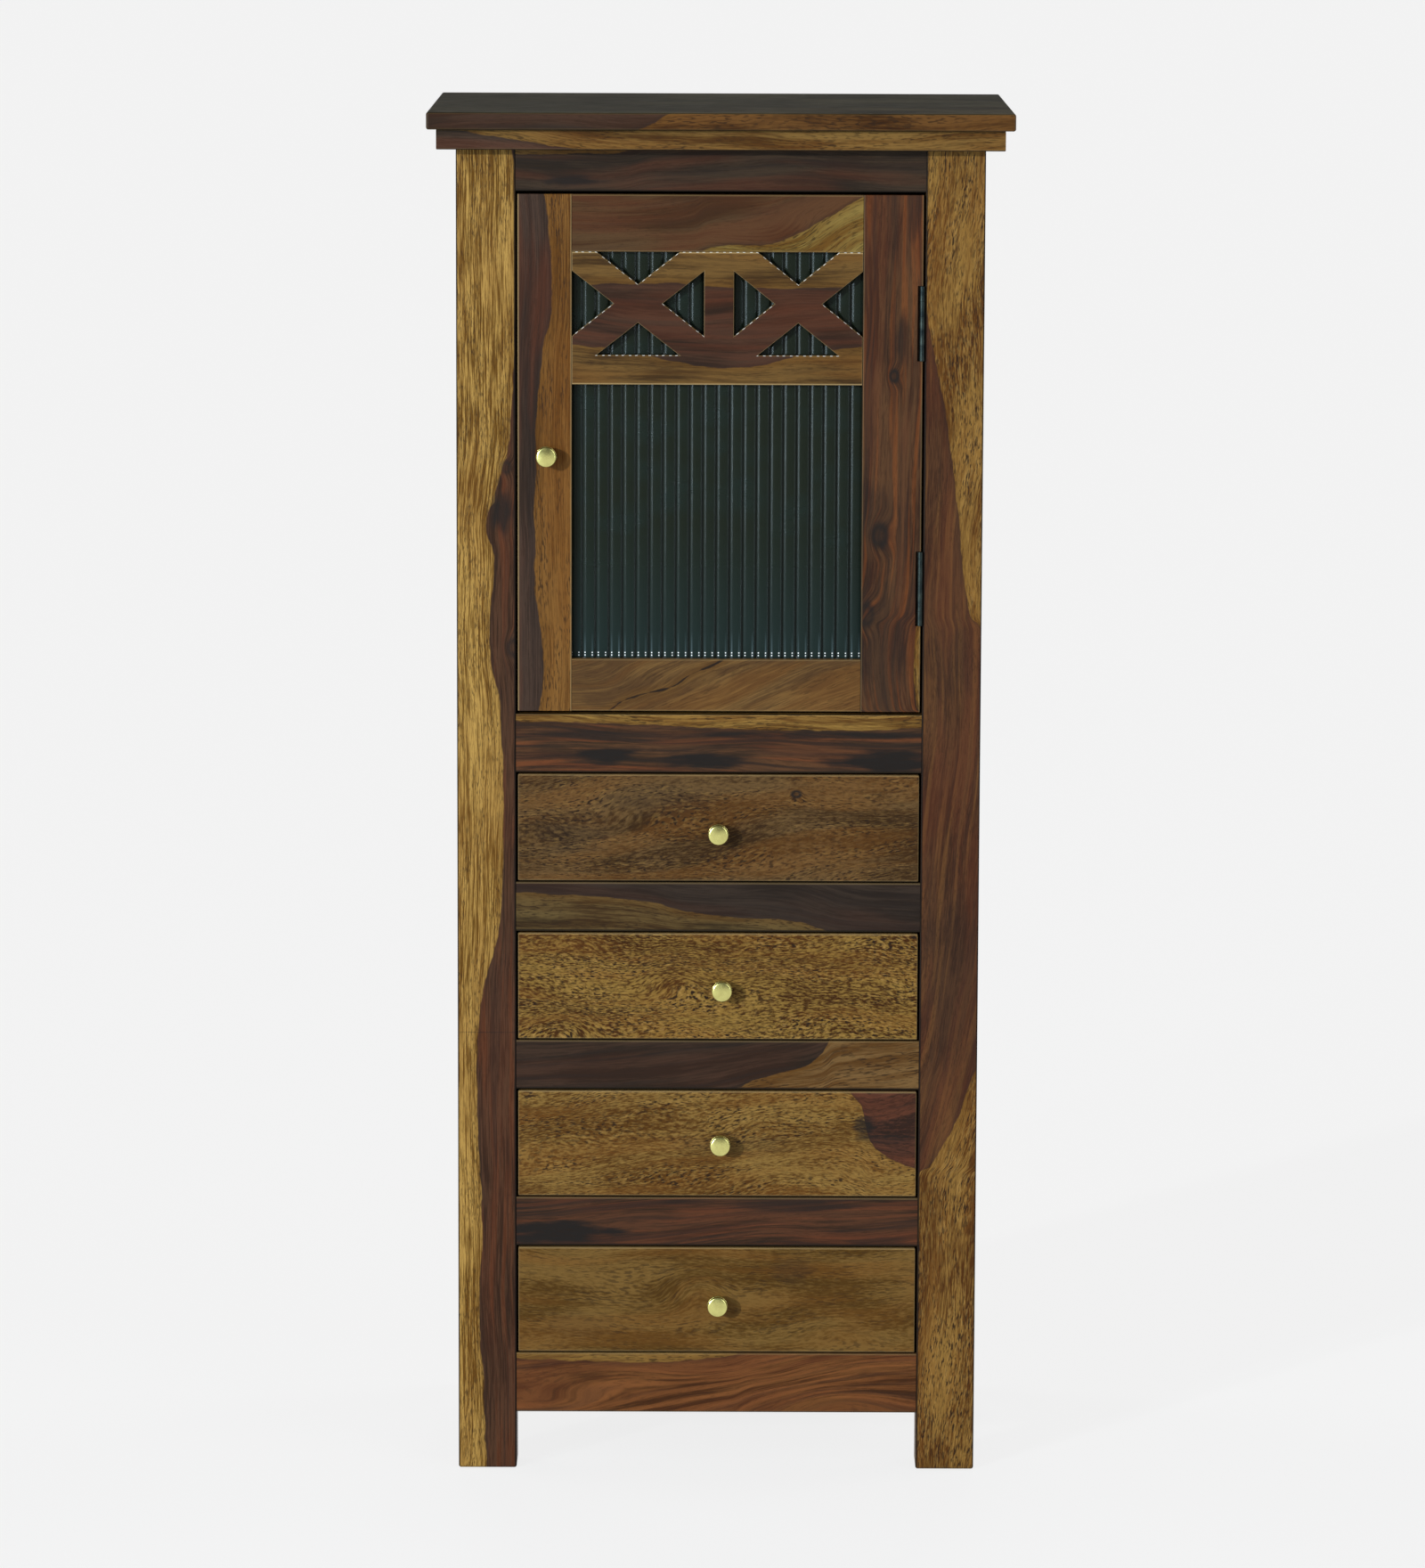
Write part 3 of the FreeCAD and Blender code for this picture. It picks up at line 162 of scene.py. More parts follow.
    # Growth rings wander, and part round each knot, which has a dark rim round a browner eye. Patches are
    # dark stains with a ragged outline
    knot_stretch = 1.4
    knot_reach = 2.6
    knot_push = 1.1
    ragged_deep = 0.4
    wander = marks(flat, (230, 75, 90), 0.2, 0.8, -swirl, swirl, 1)
    ring = add(tree, "Math", {0: ring, 1: wander}, operation="ADD")
    stains = []
    for place_along, place_across, radius, strength in knots:
        away = oval(place_along, place_across, knot_stretch * radius, radius)
        parted = add(tree, "MapRange", {"Value": away, "From Max": knot_reach,
                                        "To Min": knot_push * radius, "To Max": 0.0},
                     interpolation_type="SMOOTHSTEP")
        ring = add(tree, "Math", {0: ring, 1: parted}, operation="ADD")
        rim = add(tree, "MapRange", {"Value": away, "From Min": 0.7, "From Max": 1.5, "To Min": strength,
                                     "To Max": 0.0}, interpolation_type="SMOOTHSTEP")
        eye = add(tree, "MapRange", {"Value": away, "From Min": 0.2, "From Max": 0.8, "To Min": 0.35},
                  interpolation_type="SMOOTHSTEP")
        stains.append(add(tree, "Math", {0: rim, 1: eye}, operation="MULTIPLY"))
    for place_along, place_across, half_long, half_wide, strength in patches:
        ragged = marks(flat, (45, 7, 40), 0.2, 0.8, -ragged_deep, ragged_deep, 3)
        away = oval(place_along, place_across, half_long, half_wide)
        away = add(tree, "Math", {0: away, 1: ragged}, operation="ADD")
        stain = add(tree, "MapRange", {"Value": away, "From Min": 0.45, "From Max": 1.2,
                                       "To Min": strength, "To Max": 0.0}, interpolation_type="SMOOTHSTEP")
        stains.append(stain)
    grain = add(tree, "CombineXYZ", {0: along, 1: ring, 2: through})

    # Tone: short fine fibres, soft bands along the rings, and slow clouds
    strands = marks(grain, (*fibre, 1.2 * fibre[1]), 0.3, 0.7, detail=2, spread=0.6)
    bands = marks(grain, (280, 7, 30), 0.3, 0.7, detail=3, spread=0.6)
    tone = marks(flat, (130, 45, 60), 0.3, 0.7, 0.0, 1 - texture - banding, 1)
    tone = add(tree, "Math", {0: bands, 1: banding, 2: tone}, operation="MULTIPLY_ADD")
    tone = add(tree, "Math", {0: strands, 1: texture, 2: tone}, operation="MULTIPLY_ADD")
    tone = add(tree, "MapRange", {"Value": tone, "From Min": 0.2, "From Max": 0.8},
               interpolation_type="SMOOTHSTEP")
    warmth = marks(grain, (210, 26, 50), 0.42, 0.62, 0.0, warm)

    # Heartwood has near-black streaks and a few warm ones, and is darkest where it meets the sapwood
    shades = {"Factor": tone, 6: linear(core[1]), 7: linear(core[0])}
    heart_colour = add(tree, "Mix", shades, data_type="RGBA")
    rim = add(tree, "MapRange", {"Value": inside, "From Max": 5.0, "To Min": 0.4, "To Max": 0.0})
    inky = marks(grain, (260, 8, 24), 0.5, 0.66, 0.0, ink)
    black = add(tree, "Math", {0: rim, 1: inky}, operation="MAXIMUM")
    glowing = marks(grain, (170, 6, 20), 0.5, 0.64, 0.0, glow[1])
    for share, layer in ((glowing, glow[0]), (warmth, "#5C2F1B"), (black, "#211A17")):
        shades = {"Factor": share, 6: heart_colour, 7: linear(layer)}
        heart_colour = add(tree, "Mix", shades, data_type="RGBA")

    # Sapwood darkens a little towards the heartwood
    shades = {"Factor": tone, 6: linear(sap[1]), 7: linear(sap[0])}
    sap_colour = add(tree, "Mix", shades, data_type="RGBA")
    rim = add(tree, "MapRange", {"Value": inside, "From Min": -10.0, "From Max": -0.5, "To Max": 0.35})
    for share, layer in ((warmth, "#71471A"), (rim, "#5E3E14")):
        shades = {"Factor": share, 6: sap_colour, 7: linear(layer)}
        sap_colour = add(tree, "Mix", shades, data_type="RGBA")
    side = add(tree, "MapRange", {"Value": inside, "From Min": -0.6, "From Max": 0.6})
    colour = add(tree, "Mix", {"Factor": side, 6: sap_colour, 7: heart_colour}, data_type="RGBA")
    layers = [(stain, "#1C1816") for stain in stains]

    # Open pores: dark dashes, drawn about three times their real width so that they show, and pale flecks.
    # They show less in the heartwood
    crowd = marks(grain, (80, 14, 30), 0.38, 0.62, 0.35, 1.0, 1)
    pore = marks(grain, (*pore_size, 1.3 * pore_size[1]), 0.52, 0.64, detail=1)
    pore = add(tree, "Math", {0: pore, 1: crowd}, operation="MULTIPLY")
    share = add(tree, "MapRange", {"Value": inside, "From Min": -0.5, "From Max": 0.5, "To Min": pores,
                                   "To Max": 0.4 * pores})
    pore = add(tree, "Math", {0: pore, 1: share}, operation="MULTIPLY")
    layers.append((pore, "#22150A"))
    if flecks:
        fleck_deep = 4
        fleck_size = (1.3 * pore_size[0], pore_size[1], fleck_deep)
        fleck = marks(grain, fleck_size, 0.52, 0.66, 0.0, flecks, 1)
        fleck = add(tree, "Math", {0: fleck, 1: crowd}, operation="MULTIPLY")
        pale = add(tree, "Math", {0: 1.0, 1: side}, operation="SUBTRACT", use_clamp=True)
        fleck = add(tree, "Math", {0: fleck, 1: pale}, operation="MULTIPLY")
        layers.append((fleck, "#B08A4C"))

    # Painted highlights stand in for the light that the eased edges catch: the colour is pale where the
    # surface starts to turn away from the board's flat faces, and in a thin line beside them on the front
    normal = add(tree, "SeparateXYZ", {0: place["Normal"]}).node.outputs
    facing = add(tree, "VectorMath", {0: place["Normal"]}, operation="ABSOLUTE")
    facing = add(tree, "SeparateXYZ", {0: facing}).node.outputs
    flatness = add(tree, "Math", {0: facing["X"], 1: facing["Y"]}, operation="MAXIMUM")
    flatness = add(tree, "Math", {0: flatness, 1: facing["Z"]}, operation="MAXIMUM")
    front = add(tree, "MapRange", {"Value": depth, "From Min": 3.0, "From Max": 6.0, "To Min": 1.0,
                                   "To Max": 0.0})
    back_across = add(tree, "Math", {0: width, 1: across}, operation="SUBTRACT")
    highlight_band = add(tree, "Math", {0: across, 1: back_across}, operation="MINIMUM")
    highlight_band = add(tree, "MapRange", {"Value": highlight_band, "From Min": 0.6, "From Max": 2.0, "To Min": edge_highlight,
                                    "To Max": 0.0})
    highlight_band = add(tree, "Math", {0: highlight_band, 1: front}, operation="MULTIPLY")
    arris_highlight = add(tree, "MapRange", {"Value": flatness, "From Min": 0.86, "From Max": 0.99, "To Min": edge_highlight,
                                   "To Max": 0.0})
    painted_edge_highlight = add(tree, "Math", {0: highlight_band, 1: arris_highlight}, operation="MAXIMUM")
    layers.append((painted_edge_highlight, "#A98F62"))

    # Painted shade: near-black past the turn of each edge and in lines along the seams, where the joints'
    # gaps lie in shade
    painted_edge_shade = add(tree, "MapRange", {"Value": flatness, "From Min": 0.74, "From Max": 0.84,
                                         "To Min": 0.85, "To Max": 0.0})
    layers.append((painted_edge_shade, "#0E0906"))
    for edge, wide in zip((across, back_across), seam_shade):
        if wide:
            painted_seam_shade = add(tree, "MapRange", {"Value": edge, "From Min": 0.7 * wide, "From Max": 1.3 * wide,
                                          "To Min": 0.9, "To Max": 0.0})
            painted_seam_shade = add(tree, "Math", {0: painted_seam_shade, 1: front}, operation="MULTIPLY")
            layers.append((painted_seam_shade, "#0B0705"))

    # Painted glints of the light that the glass flutes throw: short white ticks about 7 mm apart, on the
    # front lip of the sawn edges that face up
    if glint_shift:
        tick_step = 7.0
        tick_place = 3.8
        tick_half = 1.3
        painted_glint = add(tree, "Math", {0: along, 1: glint_shift}, operation="ADD")
        painted_glint = add(tree, "Math", {0: painted_glint, 1: tick_step}, operation="PINGPONG")
        painted_glint = add(tree, "Math", {0: painted_glint, 1: tick_place, 2: tick_half}, operation="COMPARE")
        upward = add(tree, "MapRange", {"Value": normal["Z"], "From Min": 0.1, "From Max": 0.6})
        lip = add(tree, "MapRange", {"Value": depth, "From Min": 2.0, "From Max": 3.5, "To Min": 1.0,
                                     "To Max": 0.0})
        painted_glint = add(tree, "Math", {0: painted_glint, 1: upward}, operation="MULTIPLY")
        painted_glint = add(tree, "Math", {0: painted_glint, 1: lip}, operation="MULTIPLY")
        layers.append((painted_glint, "#E6E6E0"))
    for share, layer in layers:
        colour = add(tree, "Mix", {"Factor": share, 6: colour, 7: linear(layer)}, data_type="RGBA")

    # A painted shade with a grey-green painted reflection darkens the upward face, and little of the figure
    # shows through it
    if painted_top_shade:
        shades = {"Factor": tone, 6: linear("#201E15"), 7: linear("#3B3828")}
        painted_top_colour = add(tree, "Mix", shades, data_type="RGBA")
        top = add(tree, "MapRange", {"Value": normal["Z"], "From Min": 0.6, "From Max": 0.95,
                                     "To Max": painted_top_shade})
        colour = add(tree, "Mix", {"Factor": top, 6: colour, 7: painted_top_colour}, data_type="RGBA")
    tree.links.new(colour, shader.inputs["Base Color"])

    # Satin lacquer over an open grain: fibres glossier or duller than their neighbours, and sunk pores
    sheen = add(tree, "MapRange", {"Value": strands, "To Min": rough + 0.06, "To Max": rough - 0.05})
    tree.links.new(sheen, shader.inputs["Roughness"])
    height = add(tree, "Math", {0: strands, 1: 0.3}, operation="MULTIPLY")
    height = add(tree, "Math", {0: height, 1: pore}, operation="SUBTRACT")
    bump = add(tree, "Bump", {"Strength": 0.4, "Distance": 0.0002, "Height": height})
    tree.links.new(bump, shader.inputs["Normal"])
    shader.inputs["Specular IOR Level"].default_value = 0.12


sheesham("post_front_left", "zxy", 1, sap=("#AB8746", "#593A09"), flow=0.2, swirl=3, fibre=(36, 1.1),
         texture=0.64, banding=0.12, warm=0.2, ink=0.3, glow=("#6E3A1E", 0.3), pores=0.6, pore_size=(7, 1.1),
         edge_highlight=0.0, seam_shade=(1.3, 1.8), knots=[(0.236, 0.84, 5, 0.6), (0.371, 0.96, 7, 0.7)],
         patches=[(0.272, 0.78, 24, 12, 0.85), (0.663, 0.5, 0.8, 60, 0.4)],
         heart=[(0.00, 0.94, 2), (0.05, 1.02, 2), (0.14, 0.98, 2), (0.213, 0.90, 2), (0.24, 0.74, 2),
                (0.262, 0.63, 2), (0.281, 0.50, 2), (0.303, 0.64, 2), (0.36, 0.55, 2), (0.41, 0.72, 2),
                (0.45, 0.77, 2), (0.51, 0.79, 2), (0.575, 0.73, 2), (0.635, 0.42, 2), (0.70, 0.32, 2),
                (0.76, 0.36, 2), (0.81, 0.41, 2), (0.87, 0.36, 2), (0.93, 0.42, 2), (1.00, 0.47, 2)])
sheesham("post_front_right", "zxy", 2, sap=("#84632F", "#472706"), core=("#4E321E", "#341D10"), flow=0.4,
         swirl=6, tilt=0.08, fibre=(20, 1.3), texture=0.42, banding=0.2, ink=0.25, glow=("#6C4826", 0.5),
         pores=0.9, pore_size=(7, 1.2), flecks=0.3, edge_highlight=0.0, seam_shade=(2.0, 1.3),
         patches=[(0.63, 0.6, 120, 40, 0.3), (0.38, 0.5, 40, 30, 0.25)],
         heart=[(0.00, -1, -0.10), (0.10, -1, -0.02), (0.125, -1, 0.06), (0.17, -1, 0.25), (0.21, -1, 0.42),
                (0.27, -1, 0.58), (0.33, -1, 0.74), (0.347, -1, 0.82), (0.36, -1, 1.05), (0.50, -1, 1.3),
                (0.675, -1, 1.05), (0.70, -1, 0.88), (0.725, -1, 0.70), (0.747, -1, 0.45),
                (0.765, -1, 0.22), (0.78, -1, -0.10), (1.00, -1, -0.20)])

# Front rails. Six sheesham boards lie flush between the front posts, tenoned into both: the top rail, the
# rail under the door, three between the drawers, and the apron near the floor. Each is cut from another
# plank, mostly from dark heartwood with near-black patches.
sheesham("rail_top", "xzy", 3, sap=("#86683A", "#573C1B"), core=("#372B20", "#201811"), edge_highlight=0.1,
         seam_shade=(1.2, 1.8), patches=[(0.167, 0.74, 34, 7, 0.9)],
         heart=[(0, 0.10, 2), (0.16, 0.12, 2), (0.27, 0.08, 2), (0.36, -0.15, 2), (1, -0.3, 2)])
sheesham("rail_under_door", "xzy", 4, sap=("#937339", "#4A2F0E"), core=("#533722", "#2B1F15"), ink=0.75,
         glow=("#744022", 0.55), seam_shade=(0.8, 2.0),
         patches=[(0.247, 0.72, 40, 9, 1.0), (0.454, 0.77, 46, 12, 1.0), (0.88, 0.82, 62, 14, 1.0),
                  (0.75, 0.36, 150, 4, 0.85), (0.2, 0.33, 80, 3, 0.5)],
         heart=[(0, 0.13, 2), (0.3, 0.17, 2), (0.5, 0.24, 2), (0.7, 0.27, 2), (1, 0.22, 2)])
sheesham("rail_drawer_upper", "xzy", 5, sap=("#584829", "#271B0B"), core=("#312720", "#1F1712"), warm=0.1,
         seam_shade=(0, 2.1),
         heart=[(0, -1, 0.16), (0.043, -1, 0.20), (0.20, -1, 0.28), (0.32, -1, 0.36), (0.43, -1, 0.59),
                (0.53, -1, 0.70), (0.65, -1, 0.75), (0.73, -1, 0.93), (0.81, -1, 1.15), (1, -1, 1.3)])
sheesham("rail_drawer_middle", "xzy", 6, sap=("#6F5431", "#4F3313"), core=("#38281E", "#201710"), flow=0.3,
         swirl=5, tilt=0.06, warm=0.1, seam_shade=(0, 2.1),
         heart=[(0, -1, 1.5), (0.45, -1, 1.2), (0.548, -1, 0.97), (0.57, -1, 0.86), (0.63, -1, 0.69),
                (0.68, -1, 0.58), (0.73, -1, 0.33), (0.75, -1, 0.06), (0.78, -1, -0.3), (1, -1, -0.6)])
sheesham("rail_drawer_lower", "xzy", 7, core=("#4C2F1E", "#261A11"), swirl=12, tilt=0.08, ink=0.6,
         glow=("#6A3A22", 0.4), seam_shade=(0, 2.1), heart=[(0, -1, 2), (1, -1, 2)],
         patches=[(0.137, 0.70, 76, 15, 1.0), (0.667, 0.12, 70, 9, 0.6), (0.86, 0.92, 40, 7, 0.5)])
sheesham("rail_bottom", "xzy", 8, sap=("#8A6C36", "#5A4120"), core=("#674020", "#3C200A"), swirl=16,
         tilt=0.1, ink=0.35, glow=("#83502A", 0.5), seam_shade=(0, 1.2), knots=[(0.76, 1.0, 30, 0.0)],
         heart=[(0, 0.07, 2), (0.043, 0.09, 2), (0.20, 0.14, 2), (0.32, 0.16, 2), (0.43, 0.12, 2),
                (0.53, 0.05, 2), (0.6, -0.1, 2), (1, -0.2, 2)])

# Back posts, with the side and back frames. Frame rails tenoned into the posts hold thin floating sheesham
# panels in grooves. The two back panels are stained plywood.
for seed, name in enumerate(["post_back_left", "post_back_right"], start=14):
    sheesham(name, "zyx", seed, swirl=5)
for seed, name in enumerate(["side_rails_left", "side_rails_right"], start=16):
    sheesham(name, "yzx", seed, sap=("#8A6A3A", "#553B1A"))
for seed, name in enumerate(["side_panels_left", "side_panels_right"], start=18):
    sheesham(name, "zyx", seed, sap=("#8A6A3A", "#553B1A"), swirl=20)
sheesham("back_rails", "xzy", 20, sap=("#7E6138", "#50381B"))


def plywood(name, lie, seed):
    """Dress a piece in thin stained plywood, with the wide, wavy figure of a rotary-cut face."""
    sheesham(name, lie, seed, heart=(), sap=("#7A6040", "#5E482D"), swirl=16, texture=0.2, banding=0.3,
             warm=0.15, pores=0.35, rough=0.6)


plywood("back_panels", "zxy", 21)

# Cornice. Four sheesham boards, mitred into a frame that sits on the posts and steps out all round. On the
# front one the heartwood ends in a slanting line near its left end.
sheesham("cornice_front", "xzy", 71, sap=("#775B2E", "#412708"), core=("#403127", "#271C13"), edge_highlight=0.15,
         seam_shade=(0.9, 0.9),
         heart=[(0, -0.1, 2), (0.05, 0.1, 2), (0.12, 0.4, 2), (0.22, 0.85, 2), (0.3, 1.1, 2), (1, 1.5, 2)])
sheesham("cornice_back", "xzy", 72, sap=("#7E6137", "#4B3115"))
for seed, name in enumerate(["cornice_left", "cornice_right"], start=73):
    sheesham(name, "yzx", seed, sap=("#7E6137", "#4B3115"))

# Top board. One wide sheesham plank with rounded edges, screwed on through the cornice from below. Its upper
# face is painted dark grey-green as painted shade and reflection, and its front edge is heartwood at the
# left and sapwood at the right.
sheesham("top_board", "xzy", 75, sap=("#60401D", "#301802"), core=("#382A20", "#22180F"), flow=0.1,
         warm=0.15, edge_highlight=0.1, lean=0.12, painted_top_shade=0.92,
         heart=[(0, -1, 1.4), (0.30, -1, 1.25), (0.353, -1, 1.0), (0.414, -1, 0.0), (0.45, -1, -0.4),
                (1, -1, -1)])


def plated_steel(name, shades, rough):
    """Steel with a thin plated or blackened skin: soft blotches, and rubbing marks drawn too coarse."""
    material = bpy.data.materials.new(name)
    material.use_nodes = True
    tree = material.node_tree
    shader = tree.nodes["Principled BSDF"]
    point = add(tree, "TexCoord", {}).node.outputs["Object"]
    blotch = add(tree, "TexNoise", {"Vector": point, "Scale": 90.0, "Detail": 3.0})
    blotch = add(tree, "MapRange", {"Value": blotch, "From Min": 0.35, "From Max": 0.65})
    tint = add(tree, "Mix", {"Factor": blotch, 6: linear(shades[1]), 7: linear(shades[0])},
               data_type="RGBA")
    tree.links.new(tint, shader.inputs["Base Color"])
    rubbing = add(tree, "VectorMath", {0: point, 1: (1500, 1500, 120)}, operation="MULTIPLY")
    rubbing = add(tree, "TexNoise", {"Vector": rubbing, "Scale": 1.0, "Detail": 1.0})
    gloss = add(tree, "MapRange", {"Value": rubbing, "From Min": 0.3, "From Max": 0.7,
                                   "To Min": rough - 0.08, "To Max": rough + 0.1})
    tree.links.new(gloss, shader.inputs["Roughness"])
    bump = add(tree, "Bump", {"Strength": 0.3, "Distance": 0.0001, "Height": rubbing})
    tree.links.new(bump, shader.inputs["Normal"])
    shader.inputs["Metallic"].default_value = 1.0
    return material


zinc = plated_steel("zinc_plated_steel", ("#B2B6B8", "#8F9294"), 0.4)
nodes["top_screws"].data.materials[0] = zinc

# Cupboard floor and shelf, with the cleats under them. Plain planed boards, oiled but not lacquered, that
# lie on cleats along the side frames.
for seed, name in enumerate(["cupboard_floor", "cupboard_shelf"], start=22):
    sheesham(name, "xyz", seed, heart=(), sap=("#8F7348", "#684D2A"), pores=0.4, rough=0.6)
sheesham("cupboard_cleats", "yzx", 24, heart=(), sap=("#8F7348", "#684D2A"), pores=0.4, rough=0.6)

# Drawer runners. Waxed hardwood strips beside each drawer: one to slide on, one to guide it, and a stop
# block at the back.
for seed, name in enumerate(["drawer_runners_left", "drawer_runners_right"], start=25):
    sheesham(name, "yzx", seed, heart=(), sap=("#A08254", "#745834"), pores=0.3, rough=0.5)

# Drawers. Each front is one flat-sawn sheesham board, so its pores and rings show as broken, swirling
# figure. The box behind is plain planed wood with a plywood bottom in grooves.
sheesham("drawer_1_front", "xzy", 31, heart=(), sap=("#5C4528", "#301D07"), swirl=14, tilt=0.1,
         fibre=(7, 1.5), texture=0.45, banding=0.2, pores=0.95, pore_size=(6, 1.5), flecks=0.15, edge_highlight=0.4,
         seam_shade=(0, 1.0), knots=[(0.694, 0.18, 4.0, 1.0)],
         patches=[(0.13, 0.55, 40, 24, 0.3), (0.36, 0.24, 62, 16, 0.3)])
sheesham("drawer_2_front", "xzy", 32, heart=(), sap=("#82652F", "#371C01"), swirl=16, fibre=(6, 1.6),
         texture=0.62, banding=0.15, pores=1.0, pore_size=(5, 1.5), flecks=0.4, edge_highlight=0.5, seam_shade=(0, 1.0),
         knots=[(0.4, 0.35, 16, 0.0), (0.1, 0.9, 16, 0.0)])
sheesham("drawer_3_front", "xzy", 33, sap=("#806331", "#4B2E09"), core=("#4A2C20", "#241712"), flow=0.1,
         swirl=14, tilt=0.12, fibre=(7, 1.5), texture=0.5, banding=0.2, glow=("#6A3E2C", 0.4), pores=0.9,
         pore_size=(5.5, 1.4), flecks=0.25, edge_highlight=0.5, seam_shade=(0, 1.0),
         patches=[(0.868, 0.33, 12, 15, 0.85), (0.93, 0.45, 34, 6, 0.5), (0.55, 0.5, 70, 13, 0.25)],
         heart=[(0, -1, -0.5), (0.80, -1, -0.2), (0.835, -1, 0.02), (0.86, -1, 0.12), (0.875, -1, 0.36),
                (0.89, -1, 0.50), (0.92, -1, 0.60), (0.96, -1, 0.68), (1, -1, 0.73)])
sheesham("drawer_4_front", "xzy", 34, heart=(), sap=("#6E5328", "#472F09"), swirl=14, fibre=(9, 1.4),
         texture=0.38, banding=0.2, pores=0.5, edge_highlight=0.5, seam_shade=(0, 1.0), knots=[(0.45, 0.4, 14, 0.0)],
         patches=[(0.69, 0.22, 26, 15, 0.28), (0.15, 0.75, 45, 16, 0.15)])
for number in range(1, 5):
    sheesham(f"drawer_{number}_box", "yzx", 40 + number, heart=(), sap=("#A88B5E", "#7C6240"), pores=0.3,
             rough=0.6)
    plywood(f"drawer_{number}_bottom", "xyz", 50 + number)

# Door frame. Two stiles and two rails of sheesham, tenoned together, with a rabbet behind for the glass. A
# curved hairline crack crosses the bottom rail: it is drawn as a thin strip of heartwood, wider than the
# real crack so that it shows.
sheesham("door_stile_left", "zxy", 61, sap=("#785326", "#482804"), core=("#403027", "#261A13"), flow=0.25,
         swirl=3, fibre=(50, 1.2), texture=0.42, banding=0.25, warm=0.4, edge_highlight=0.6, seam_shade=(0, 0.5),
         heart=[(0, -1, 0.475), (0.074, -1, 0.59), (0.177, -1, 0.64), (0.23, -1, 0.62), (0.289, -1, 0.475),
                (0.356, -1, 0.41), (0.435, -1, 0.344), (0.543, -1, 0.344), (0.619, -1, 0.295),
                (0.674, -1, 0.33), (0.747, -1, 0.31), (0.814, -1, 0.39), (0.868, -1, 0.46),
                (0.919, -1, 0.475), (1, -1, 0.40)])
sheesham("door_stile_right", "zxy", 62, core=("#523722", "#2D190F"), swirl=6, ink=0.5,
         glow=("#7E441C", 0.38), seam_shade=(0.7, 0),
         knots=[(0.347, 0.53, 5, 0.95), (0.656, 0.31, 9, 0.9), (0.81, 0.09, 9, 0.8)],
         patches=[(0.03, 0.85, 30, 9, 0.6), (0.265, 0.66, 30, 8, 0.6), (0.62, 0.25, 36, 22, 0.35),
                  (0.9, 0.35, 80, 28, 0.45)],
         heart=[(0, -1, 1.4), (0.80, -1, 1.1), (0.835, -1, 0.93), (0.90, -1, 0.90), (0.98, -1, 0.94),
                (1, -1, 1.05)])
sheesham("door_rail_top", "xzy", 63, sap=("#84743D", "#583F14"), core=("#4E3822", "#39220F"), swirl=12,
         texture=0.2, ink=0.15,
         heart=[(0, -1, 1.4), (0.42, -1, 1.1), (0.485, -1, 0.91), (0.647, -1, 0.86), (0.702, -1, 0.77),
                (0.808, -1, 0.45), (0.916, -1, 0.06), (1, -1, -0.2)])
sheesham("door_rail_bottom", "xzy", 64, sap=("#73562F", "#4C351D"), core=("#2A1C12", "#1E140C"), flow=0.1,
         swirl=9, tilt=0.3, texture=0.3, banding=0.25, pores=0.35, knots=[(0.0, 0.8, 24, 0.0)],
         heart=[(0, 1.6, 1.63), (0.15, 1.1, 1.13), (0.19, 0.94, 0.97), (0.228, 0.775, 0.805),
                (0.289, 0.65, 0.68), (0.365, 0.525, 0.555), (0.426, 0.275, 0.305), (0.50, 0.07, 0.10),
                (0.56, -0.2, -0.17), (1, -1.2, -1.17)])

# Lattice board. One thin sheesham board, sawn right through into two crosses with a bar between them, over
# a plain band. It fills the top of the door's opening, in front of the glass, held by a tongue at each end.
# Small white glints of the light that the fluted glass throws on its edges are painted along them.
sheesham("door_lattice", "xzy", 65, sap=("#674C26", "#39260F"), core=("#412C20", "#27180F"), flow=0.25,
         texture=0.25, ink=0.2, glow=("#552E1E", 0.3), pores=0.35, edge_highlight=0.8, glint_shift=3.0,
         heart=[(0, 0.25, 0.70), (0.2, 0.24, 0.74), (0.35, 0.235, 0.82), (0.5, 0.26, 0.87),
                (0.62, 0.27, 0.86), (0.78, 0.27, 0.77), (1, 0.25, 0.70)])

# Glass. One pane of dark glass, rolled with round upright flutes on its front, held behind the lattice by
# sheesham beads. Each flute mirrors a strip lamp as a thin bluish line. Painted on it are a near-black
# valley of painted shade beside each line, two small white painted highlights at its foot, the faint painted
# highlight streak that rises from them, and a cloudy blue painted reflection.
sheesham("door_glass_beads", "xzy", 66, heart=(), sap=("#7F6236", "#4A351A"))

# The flutes and the painted shade, highlights and reflection on them, in mm
flute_pitch = 14.03
flute_count = 22
valley_wide = 2.4
crown_shift = 0.9
spot_off = 3.8
spot_wide = 1.3
spot_rise = 2.6
spot_step = 2.8
streak_half = 1.1
streak_high = 26.0
cloud_wide = 60
cloud_high = 34
haze_low = 20
haze_high = 150
glass = bpy.data.materials.new("dark_fluted_glass")
glass.use_nodes = True
tree = glass.node_tree
shader = tree.nodes["Principled BSDF"]
pane_low, pane_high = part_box("door_glass")
pane_middle = 500 * (pane_low.x + pane_high.x)
pane_foot = 1000 * pane_low.z
rail_edge = 1000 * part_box("door_rail_bottom")[1].z
point = add(tree, "TexCoord", {}).node.outputs["Object"]
point = add(tree, "VectorMath", {0: point, 1: (1000, 1000, 1000)}, operation="MULTIPLY")
place = add(tree, "SeparateXYZ", {0: point}).node.outputs

